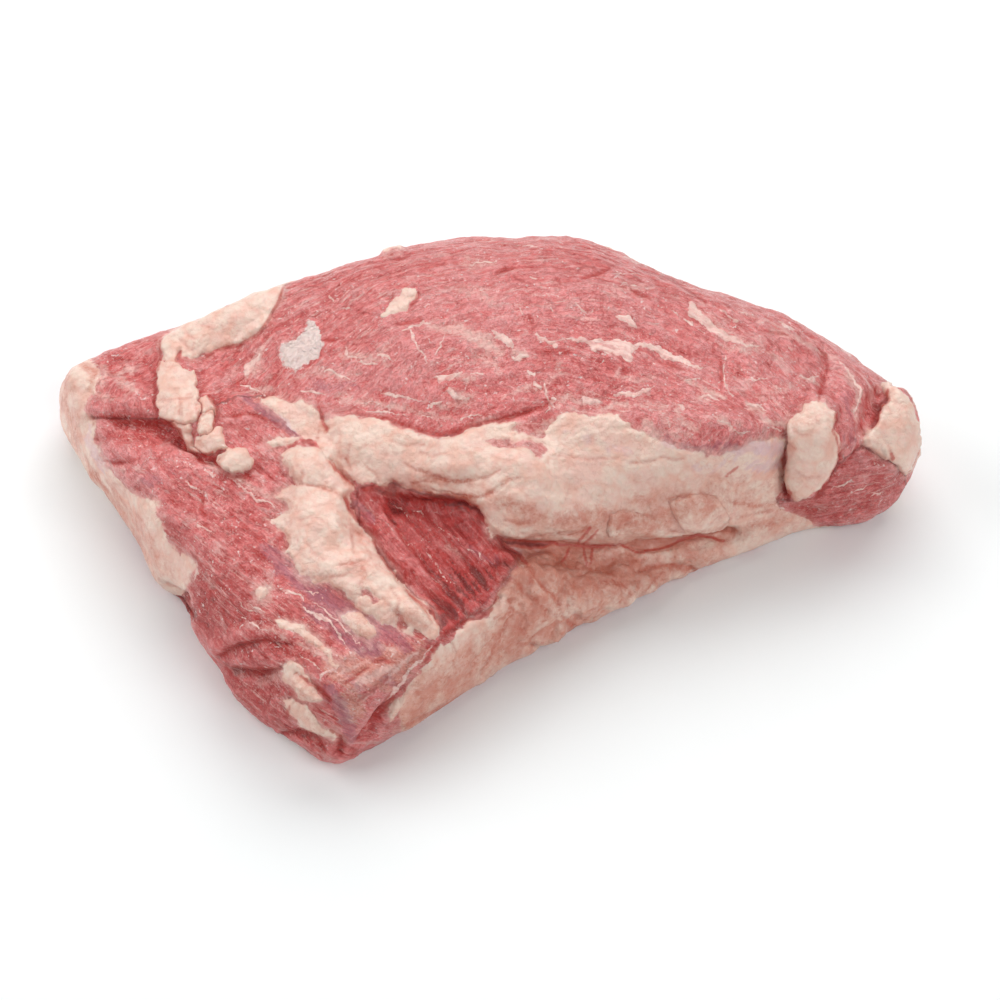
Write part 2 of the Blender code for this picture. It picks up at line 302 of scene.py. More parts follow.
# Soft pale veils on the lean, partly pale fat under the membrane, partly painted sheen: strength,
# then the line.
PALE_VEIL = [
    (0.85, [(754, 452, 9), (772, 452, 13), (776, 468, 9)]),
    (0.55, [(500, 430, 5), (530, 438, 4), (548, 424, 6)]),
    (0.65, [(468, 336, 8), (484, 340, 9), (500, 352, 6)]),
    (0.6, [(516, 352, 6), (526, 356, 5)]),
    (0.55, [(456, 376, 5), (470, 378, 6)]),
    (0.5, [(450, 392, 4), (470, 398, 5)]),
    (0.6, [(252, 370, 9), (262, 352, 7)]),
    (0.5, [(250, 392, 5), (270, 388, 5)]),
    (0.55, [(128, 366, 6), (136, 370, 5)]),
    (0.55, [(122, 382, 7), (134, 390, 7)]),
    (0.5, [(104, 366, 5), (104, 384, 5)]),
    (0.45, [(380, 352, 6), (388, 348, 5)]),
    (0.45, [(440, 408, 4), (452, 404, 5), (468, 402, 4)]),
    (0.45, [(340, 398, 5), (400, 408, 5), (450, 420, 3)]),
    (0.4, [(360, 372, 5), (300, 376, 4)]),
    (0.5, [(584, 398, 7), (598, 402, 6)]),
    (0.4, [(640, 400, 7), (660, 410, 8), (672, 424, 8)]),
    (0.4, [(656, 432, 7), (690, 436, 7)]),
    (0.4, [(560, 366, 6), (548, 384, 5)]),
    (0.5, [(700, 400, 5), (722, 396, 5)]),
    (0.5, [(846, 372, 4), (856, 392, 4), (856, 420, 4)]),
    (0.45, [(724, 346, 5), (744, 350, 5), (780, 356, 4)]),
    (0.35, [(610, 290, 5), (650, 286, 5)]),
    (0.5, [(212, 466, 5), (244, 482, 5), (272, 500, 5)]),
    (0.35, [(190, 522, 5), (214, 530, 5)]),
    (0.45, [(250, 604, 4), (268, 616, 4)]),
    (0.45, [(254, 624, 4), (284, 636, 4)]),
    (0.4, [(268, 580, 5), (270, 600, 5)]),
    (0.45, [(278, 672, 8), (262, 682, 6)]),
    (0.35, [(206, 575, 4), (214, 586, 4)]),
    (0.4, [(364, 508, 6), (376, 516, 4)]),
    (0.4, [(446, 546, 4), (460, 556, 4)]),
    (0.5, [(384, 492, 5), (396, 492, 4)]),
    (0.35, [(760, 396, 6), (800, 384, 6)]),
    (0.4, [(700, 312, 6), (724, 332, 5)]),
    (0.4, [(466, 262, 6), (490, 264, 5)]),
    (0.35, [(460, 290, 10), (490, 296, 10)]),
    (0.65, [(683, 380, 3), (690, 382, 4), (698, 384, 3)]),
    (0.75, [(702, 390, 4), (714, 394, 5), (724, 399, 4)]),
    (0.70, [(746, 405, 2), (754, 409, 3), (764, 413, 2)]),
    (0.75, [(758, 418, 2), (772, 422, 3), (788, 425, 2)]),
    (0.60, [(717, 415, 3), (728, 424, 4), (743, 434, 3)]),
    (0.60, [(800, 376, 2), (812, 381, 3), (820, 384, 2)]),
    (0.55, [(680, 418, 4), (690, 425, 5), (700, 431, 3)]),
    (0.65, [(643, 421, 5), (652, 430, 7), (660, 440, 5)]),
    (0.55, [(670, 401, 2), (675, 408, 3), (680, 415, 2)]),
    (0.45, [(707, 321, 5), (730, 336, 6), (760, 347, 4)]),
    (0.50, [(770, 330, 3), (800, 340, 3), (836, 360, 3)]),
    (0.45, [(740, 312, 2), (780, 328, 3), (820, 350, 2)]),
    (0.55, [(431, 326, 5), (460, 330, 7), (490, 338, 6)]),
    (0.50, [(474, 352, 6), (490, 360, 8), (500, 372, 5)]),
    (0.50, [(345, 354, 4), (366, 358, 5), (391, 366, 3)]),
    (0.50, [(321, 369, 3), (336, 374, 4), (348, 381, 3)]),
    (0.45, [(505, 395, 4), (528, 388, 5), (548, 392, 4)]),
    (0.50, [(556, 405, 4), (566, 396, 5), (578, 404, 4)]),
    (0.45, [(616, 376, 3), (634, 380, 4), (652, 376, 3)]),
    (0.60, [(600, 408, 4), (616, 404, 5), (630, 408, 4)]),
    (0.45, [(96, 372, 5), (110, 376, 6), (126, 372, 4)]),
    (0.50, [(88, 386, 4), (100, 396, 6), (114, 400, 4)]),
    (0.80, [(350, 692, 2), (364, 681, 4), (379, 672, 4), (394, 667, 3)]),
    (0.75, [(386, 682, 2), (398, 670, 3), (410, 658, 3), (418, 650, 2)]),
    (0.70, [(336, 694, 2), (344, 706, 3), (350, 720, 2)]),
    (0.70, [(298, 644, 2), (314, 652, 3), (330, 662, 2)]),
    (0.60, [(336, 676, 2), (350, 670, 3), (362, 660, 2)]),
    (0.60, [(358, 700, 2), (368, 694, 3), (378, 688, 2)]),
    (0.65, [(352, 654, 2), (372, 648, 3), (392, 650, 3)]),
]

# Pale fat and gristle lying in the lean: outlines, then lines with their own half-width.
PALE_SHAPES = [
    [(537, 331), (541, 338), (552, 340), (566, 338), (580, 337), (600, 339), (618, 338), (640, 343),
     (656, 345), (668, 350), (680, 356), (690, 362), (699, 367), (708, 370), (700, 372), (688, 367),
     (676, 363), (664, 361), (657, 355), (648, 350), (640, 348), (635, 352), (634, 362), (628, 364),
     (622, 358), (614, 355), (600, 353), (591, 350), (584, 345), (570, 342), (557, 342), (559, 350),
     (555, 352), (550, 346), (540, 343), (535, 336)],
    [(616, 316), (623, 313), (631, 317), (640, 327), (636, 330), (627, 325), (619, 322)],
    [
        (489, 328), (498, 331), (508, 335), (516, 342), (513, 350), (505, 346), (498, 339),
        (491, 333),
    ],
    [(510, 352), (518, 356), (528, 352), (530, 358), (520, 361), (512, 359)],
    [
        (424, 375), (438, 376), (450, 373), (463, 369), (466, 371), (456, 376), (446, 383),
        (438, 385), (434, 380),
    ],
    [
        (445, 387), (453, 390), (459, 395), (469, 398), (478, 399), (464, 402), (454, 400),
        (448, 394),
    ],
    [(429, 408), (435, 402), (443, 399), (441, 405), (434, 410)],
    [
        (611, 395), (622, 393), (633, 391), (645, 387), (659, 384), (650, 390), (640, 395),
        (628, 398), (615, 399),
    ],
    [(578, 395), (588, 396), (597, 398), (601, 402), (592, 405), (582, 401)],
    [(686, 300), (696, 305), (706, 316), (718, 327), (734, 336), (750, 343), (768, 347), (752, 348),
     (734, 343), (716, 337), (700, 326), (690, 313)],
]
PALE_LINES = [
    [(381, 393, 1.5), (389, 394, 2.5), (404, 399, 2.2), (424, 402, 1.2)],
    [(402, 329, 1.5), (412, 326, 2.2), (425, 324, 2), (433, 323, 1)],
    [(408, 328, 1.5), (413, 337, 2), (419, 347, 2), (425, 358, 1.8), (429, 367, 1)],
    [(445, 331, 1), (441, 344, 1.8), (434, 356, 1)],
    [(424, 331, 0.8), (430, 342, 1.2)],
    [(376, 354, 1.5), (384, 357, 2.4), (394, 361, 1)],
    [(345, 347, 1), (350, 355, 1.6), (363, 360, 1)],
    [(359, 362, 1), (370, 364, 2), (382, 367, 1)],
    [(324, 373, 1.5), (332, 371, 2), (346, 376, 1.8), (356, 381, 1)],
    [(301, 392, 1.5), (312, 391, 2.2), (324, 394, 1.2)],
    [(683, 380, 1.5), (692, 378, 2.2), (702, 377, 1)],
    [(574, 302, 1.2), (580, 308, 2.2), (584, 313, 1)],
    [(552, 308, 1.5), (554, 312, 2)],
    [(546, 293, 1), (557, 297, 1.5)],
    [(641, 310, 1), (651, 311, 1.8)],
    [(685, 318, 1.8), (693, 323, 3)],
    [(528, 371, 2), (533, 374, 2.4)],
    [(534, 384, 3), (541, 390, 2.4)],
    [(545, 384, 2), (549, 396, 2.4), (552, 404, 2)],
    [(556, 398, 1.4), (549, 406, 2), (545, 411, 1.4)],
    [(520, 306, 1.2), (523, 313, 1.8)],
    [(725, 357, 1.2), (724, 372, 2), (725, 386, 2), (733, 396, 1.4)],
    [(785, 346, 1.2), (792, 351, 1.8)],
    [(779, 320, 1.5), (786, 325, 2.4), (794, 330, 1.4)],
    [(736, 311, 1.2), (746, 316, 1.8)],
    [(721, 419, 1.2), (731, 424, 1.6), (740, 431, 1.6), (750, 434, 1)],
    [(746, 407, 1.2), (757, 405, 2), (766, 410, 1)],
    [(759, 421, 0.8), (772, 421, 1.3), (786, 419, 0.8)],
    [(768, 424, 1), (779, 430, 1.8)],
    [(800, 376, 1.2), (811, 380, 2), (820, 377, 1.4)],
    [(700, 398, 1.6), (708, 396, 2.4), (718, 403, 1.4)],
    [(676, 404, 1.8), (681, 409, 2.4)],
    [(712, 385, 1), (724, 383, 1.6)],
    [(744, 379, 0.8), (760, 379, 1.4), (772, 378, 0.8)],
    [(838, 362, 1.2), (848, 370, 2.2), (856, 384, 2.4), (859, 398, 2), (856, 414, 1.2)],
    [(838, 348, 1), (848, 353, 1.6), (858, 362, 1)],
    [(831, 490, 1.2), (841, 484, 1.8), (855, 480, 1.2)],
    [(848, 493, 1), (858, 489, 1.8), (869, 486, 1)],
    [(862, 498, 0.8), (874, 495, 1.4), (884, 495, 0.8)],
    [(776, 505, 2), (784, 507, 2.4)],
    [(872, 462, 1.2), (874, 464, 2)],
    [(186, 481, 1.2), (190, 486, 2), (195, 489, 1.4)],
    [(205, 470, 1.6), (213, 474, 2.4)],
    [(198, 456, 1), (214, 465, 1.6), (230, 474, 1.6), (242, 484, 1)],
    [(230, 478, 1), (242, 488, 1.8), (258, 499, 1.8), (276, 508, 1)],
    [(240, 384, 1.4), (252, 388, 2), (264, 395, 1.2)],
    [(246, 372, 3), (252, 362, 3.4), (262, 354, 2)],
    [(196, 525, 1), (206, 528, 2), (216, 533, 1)],
    [(235, 600, 1), (246, 607, 1.6), (258, 612, 1)],
    [(247, 600, 1), (256, 606, 1.6), (267, 613, 1.4), (270, 620, 1)],
    [(241, 618, 1), (255, 625, 1.8), (268, 631, 1)],
    [(257, 584, 1), (265, 586, 1.2), (274, 592, 1)],
    [(281, 590, 1.4), (292, 594, 2.2), (304, 600, 1.4)],
    [(296, 592, 1), (310, 590, 1.5), (322, 597, 1)],
    [(312, 602, 1.2), (326, 611, 1.8), (338, 622, 1.8), (350, 634, 1.4), (362, 647, 1)],
    [(302, 606, 1), (314, 615, 2), (328, 620, 2.4), (338, 634, 2), (346, 646, 1)],
    [(222, 562, 0.8), (232, 572, 1), (240, 580, 0.8)],
    [(203, 572, 0.8), (210, 584, 1)],
    [(196, 560, 1.2), (198, 572, 1.8), (194, 582, 1.2)],
    [(172, 486, 0.8), (186, 500, 1)],
    [(419, 540, 0.8), (429, 556, 1.4), (441, 572, 1.4), (453, 586, 0.8)],
    [(438, 528, 0.8), (452, 538, 1.2), (466, 548, 1.2), (480, 558, 0.8)],
    [(384, 497, 0.8), (399, 508, 1.2), (412, 522, 1)],
    [(366, 500, 0.8), (384, 520, 1.2), (400, 536, 1)],
    [(424, 570, 0.8), (436, 584, 1.2), (446, 592, 0.8)],
    [(398, 536, 0.8), (414, 548, 1), (424, 562, 0.8)],
    [(414, 512, 1.4), (420, 510, 1.6), (424, 516, 1.2)],
    [(478, 553, 1.8), (481, 557, 1.6)],
    [(457, 507, 1.4), (462, 506, 1.4)],
    [(320, 676, 1.6), (332, 670, 2.4), (340, 668, 1.4)],
    [(300, 654, 1), (312, 662, 1.6), (322, 672, 1)],
    [(500, 246, 0.8), (530, 247, 1.2), (568, 251, 0.8)],
    [(600, 249, 0.8), (630, 260, 1.3), (656, 270, 1.3), (682, 284, 0.8)],
    [(628, 254, 0.8), (654, 264, 1.2), (680, 279, 1.2), (704, 296, 0.8)],
    [(606, 284, 0.8), (626, 283, 1.3), (653, 289, 1)],
    [(604, 278, 0.8), (622, 272, 1.2), (646, 276, 1)],
    [(706, 300, 0.8), (728, 315, 1.4), (750, 328, 0.8)],
    [(660, 306, 0.8), (676, 314, 1.4), (684, 322, 0.8)],
    [(470, 262, 1), (484, 263, 1.8), (496, 260, 1)],
    [(530, 277, 1.4), (536, 279, 1.8)],
    [(332, 402, 0.8), (362, 402, 1.4), (392, 407, 0.8)],
    [(350, 408, 0.8), (380, 412, 1.6), (410, 417, 0.8)],
    [(400, 411, 0.8), (430, 418, 1.2), (448, 424, 0.8)],
    [(460, 420, 1.4), (470, 416, 2), (482, 417, 1)],
    [(470, 372, 1), (482, 374, 1.8)],
    [(330, 296, 1.6), (333, 300, 1.8)],
    [(338, 308, 0.8), (350, 307, 1.4)],
    [(352, 284, 1.2), (354, 286, 1.4)],
    [(388, 700, 1), (396, 688, 2.4), (408, 674, 2.4), (424, 656, 1.8), (438, 642, 1)],
]

# Dark red lines: blood, cuts and the contact of one muscle with the next, and painted shade in
# gaps, under the overhang of the fat roll and along the edges where fat lies on the lean.
DARK_LINES = [
    [(372, 661, 1.0), (380, 659, 2.6), (390, 662, 1.4)],
    [(344, 686, 0.6), (356, 676, 1.0), (368, 667, 0.6)],
    [(356, 702, 0.6), (374, 690, 1.0), (388, 678, 0.5)],
    [(888, 390, 0.8), (884, 400, 1.6), (877, 412, 1.6), (871, 422, 0.8)],
    [(737, 393, 0.3), (760, 396, 0.4), (787, 395, 0.3)],
    [
        (358, 413, 0.4), (390, 419, 0.9), (412, 427, 1.2), (430, 432, 2), (446, 433, 2.4),
        (460, 430, 2), (474, 425, 1.4),
    ],
    [(474, 425, 1), (498, 420, 1.8), (512, 416, 2), (524, 411, 2.4), (540, 408, 2), (550, 402, 1)],
    [(319, 406, 0.8), (321, 416, 1.4), (327, 430, 1.2)],
    [(330, 461, 0.6), (337, 470, 1.1), (345, 478, 1.2), (353, 485, 0.6)],
    [(346, 500, 1.4), (350, 510, 2.2), (355, 517, 2), (359, 522, 1.2)],
    [(303, 442, 1.4), (309, 441, 2.4), (315, 446, 1.6)],
    [(285, 283, 0.6), (279, 300, 1.2), (268, 320, 1.4), (257, 335, 1.2)],
    [(257, 335, 0.8), (240, 344, 1), (222, 348, 1), (206, 356, 1)],
    [(181, 353, 1.4), (177, 360, 2.4), (184, 362, 1.2)],
    [(155, 383, 1.4), (156, 392, 1.2), (154, 402, 1.2), (158, 412, 0.8)],
    [(160, 340, 0.6), (160, 358, 1.2), (158, 370, 0.8)],
    [
        (94, 418, 0.8), (110, 417, 1), (122, 421, 1.4), (150, 425, 1.8), (170, 425, 2.2),
        (179, 431, 2.6), (183, 446, 2.4),
    ],
    [(183, 446, 2), (192, 453, 2), (203, 456, 1.6), (212, 452, 1)],
    [(199, 396, 1), (204, 388, 1), (210, 380, 0.6)],
    [(208, 396, 1), (215, 404, 1.8), (218, 414, 1.8), (214, 426, 1.4)],
    [(218, 466, 1), (224, 473, 1.6), (234, 478, 1.4), (246, 477, 1.6), (254, 468, 1)],
    [(104, 461, 0.8), (120, 463, 1), (136, 459, 0.6)],
    [(138, 487, 1), (141, 489, 1.8)],
    [(202, 490, 0.8), (203, 503, 1.4), (201, 512, 1.8), (206, 515, 1.4)],
    [(204, 525, 1), (208, 527, 1.6)],
    [(222, 416, 0.8), (240, 414, 1.2), (258, 415, 1), (278, 424, 0.6)],
    [(192, 552, 0.8), (199, 562, 1.4), (203, 566, 1)],
    [(166, 598, 2), (176, 600, 4), (184, 606, 4), (192, 616, 2)],
    [(222, 655, 1.4), (236, 648, 2.6), (252, 643, 2.4), (270, 641, 1)],
    [(246, 672, 1.2), (260, 674, 2), (272, 672, 2), (280, 668, 1)],
    [(283, 733, 1), (298, 732, 1.6), (312, 735, 1.8), (320, 742, 1.6), (324, 752, 1)],
    [(330, 730, 0.8), (340, 736, 1.6), (341, 748, 1.8), (334, 752, 0.8)],
    [(362, 732, 1.4), (374, 718, 2.6), (384, 708, 2.6), (393, 699, 1.4)],
    [(300, 676, 0.8), (312, 684, 1.4), (322, 690, 2), (330, 700, 2)],
    [(264, 712, 0.8), (268, 704, 1.2), (270, 696, 0.6)],
    [(290, 706, 0.8), (288, 716, 1.4)],
    [
        (411, 500, 1.6), (420, 501, 3.4), (432, 504, 2.6), (446, 506, 3), (462, 505, 4.5),
        (474, 509, 4.5), (482, 518, 3),
    ],
    [(364, 489, 2), (376, 488, 2.4), (388, 494, 2), (402, 494, 2.4), (412, 499, 2)],
    [(482, 520, 1), (486, 526, 1.6)],
    [
        (498, 537, 2), (504, 542, 3.4), (516, 543, 3.4), (530, 545, 4), (542, 545, 3.4),
        (552, 543, 1.6), (568, 545, 1),
    ],
    [(504, 546, 3), (520, 556, 2.4), (526, 564, 1.6)],
    [(568, 545, 0.8), (590, 547, 1.2), (610, 545, 0.8)],
    [(578, 543, 0.8), (584, 534, 1.1), (590, 527, 1.2)],
    [(583, 545, 0.8), (592, 536, 0.9), (599, 530, 0.6)],
    [(569, 549, 0.8), (566, 556, 1.1), (562, 562, 0.8)],
    [(584, 548, 0.8), (585, 558, 1.2), (586, 567, 0.8)],
    [(593, 548, 0.8), (592, 556, 1.1), (590, 564, 0.6)],
    [
        (600, 546, 0.6), (620, 544, 0.8), (634, 552, 0.8), (652, 551, 0.9), (668, 547, 1),
        (680, 540, 1.1), (696, 535, 1), (710, 537, 1.2), (724, 541, 0.8),
    ],
    [(786, 450, 1), (784, 459, 2.2), (784, 468, 1.4)],
    [(782, 484, 0.8), (785, 491, 2), (790, 493, 1.4), (788, 499, 1.6)],
    [
        (836, 413, 1), (836, 424, 1), (833, 431, 0.8), (838, 444, 1.2), (840, 456, 1.4),
        (837, 467, 1.2), (830, 478, 1.4), (822, 489, 1.8), (815, 497, 1.2),
    ],
    [(889, 399, 1.2), (882, 405, 2.2), (878, 413, 2.4), (876, 420, 2.2), (872, 426, 1)],
    [(862, 446, 0.4), (856, 447, 0.8), (850, 457, 0.9), (844, 465, 0.6)],
    [(891, 454, 1.2), (893, 459, 1.8)],
    [(868, 378, 0.6), (873, 388, 1), (879, 397, 0.8)],
    [
        (819, 347, 0.6), (826, 355, 1.1), (827, 366, 1.3), (825, 378, 1.3), (821, 390, 1.1),
        (819, 401, 0.8),
    ],
    [(762, 330, 0.6), (776, 333, 1.2), (788, 335, 0.8)],
    [(764, 336, 0.6), (769, 342, 0.9), (773, 347, 0.6)],
    [(721, 360, 0.8), (722, 374, 1.4), (721, 389, 1)],
    [(738, 362, 0.8), (739, 376, 1.2)],
    [(714, 345, 1), (714, 352, 1.2)],
    [(724, 304, 1), (728, 308, 1.8)],
    [(751, 413, 0.8), (753, 418, 1.4)],
    [(726, 476, 0.6), (732, 471, 1.2), (738, 466, 0.6)],
    [(496, 273, 1.4), (504, 269, 2.8), (513, 266, 1.4)],
    [(583, 278, 1), (592, 275, 1.6), (600, 272, 1.2), (607, 270, 0.8)],
    [(604, 263, 0.8), (610, 266, 1.6), (614, 266, 1)],
    [(578, 272, 0.8), (586, 267, 1), (594, 270, 0.8)],
    [(632, 289, 0.6), (641, 294, 1.2), (650, 298, 1)],
    [(634, 277, 0.8), (640, 280, 1.2)],
    [(618, 286, 0.8), (626, 288, 1)],
    [(640, 270, 0.5), (668, 278, 0.9), (690, 291, 0.9), (706, 303, 0.5)],
    [(600, 300, 0.8), (601, 307, 1)],
    [(529, 316, 1), (532, 322, 1.8)],
    [(557, 279, 0.8), (560, 284, 1.2)],
    [(524, 376, 0.8), (526, 379, 1.4)],
    [(530, 388, 1), (533, 391, 1.4)],
    [(547, 400, 0.8), (551, 406, 1.2)],
    [(419, 292, 0.8), (416, 300, 1.4), (411, 306, 0.8)],
    [(388, 300, 0.6), (394, 294, 0.9)],
    [(326, 341, 1), (334, 340, 1.3), (343, 338, 0.6)],
    [(382, 392, 0.6), (386, 389, 1.2)],
    [(397, 322, 1), (408, 322, 1.4), (422, 319, 0.8)],
    [(612, 353, 0.6), (622, 361, 1), (630, 365, 0.8)],
    [(640, 349, 0.6), (650, 353, 0.8), (660, 362, 0.8)],
    [(666, 362, 0.8), (672, 365, 1.2), (682, 370, 0.8)],
    [(687, 344, 0.8), (690, 354, 1), (688, 360, 0.6)],
    [(372, 541, 0.8), (380, 553, 1.2), (388, 566, 1.2), (396, 576, 0.8)],
    [(405, 590, 0.6), (416, 600, 1.2), (430, 610, 1.4), (438, 624, 1)],
    [(440, 640, 1), (434, 650, 1.4), (424, 660, 1)],
    [(456, 630, 0.8), (466, 621, 1.2), (480, 617, 0.8), (492, 609, 1)],
]

# Fibre bundles of the dark muscle, as fine grooves and ridges.
DARK_FIBRES = [
    [(374, 520, 1), (392, 540, 1.6), (412, 562, 1.6), (430, 586, 1)],
    [(386, 512, 1), (406, 534, 1.6), (428, 560, 1.8), (446, 584, 1)],
    [(404, 508, 1), (424, 532, 1.6), (448, 558, 1.8), (470, 590, 1)],
    [(426, 514, 1), (446, 534, 1.6), (468, 562, 1.6), (484, 584, 1)],
    [(446, 516, 1), (464, 532, 1.6), (480, 546, 1)],
    [(384, 560, 1), (398, 578, 1.6), (418, 598, 1.6), (440, 608, 1)],
    [(410, 570, 1), (424, 590, 1.8), (444, 604, 1.4), (458, 616, 1)],
    [(450, 574, 1), (460, 590, 1.4), (474, 600, 1)],
]

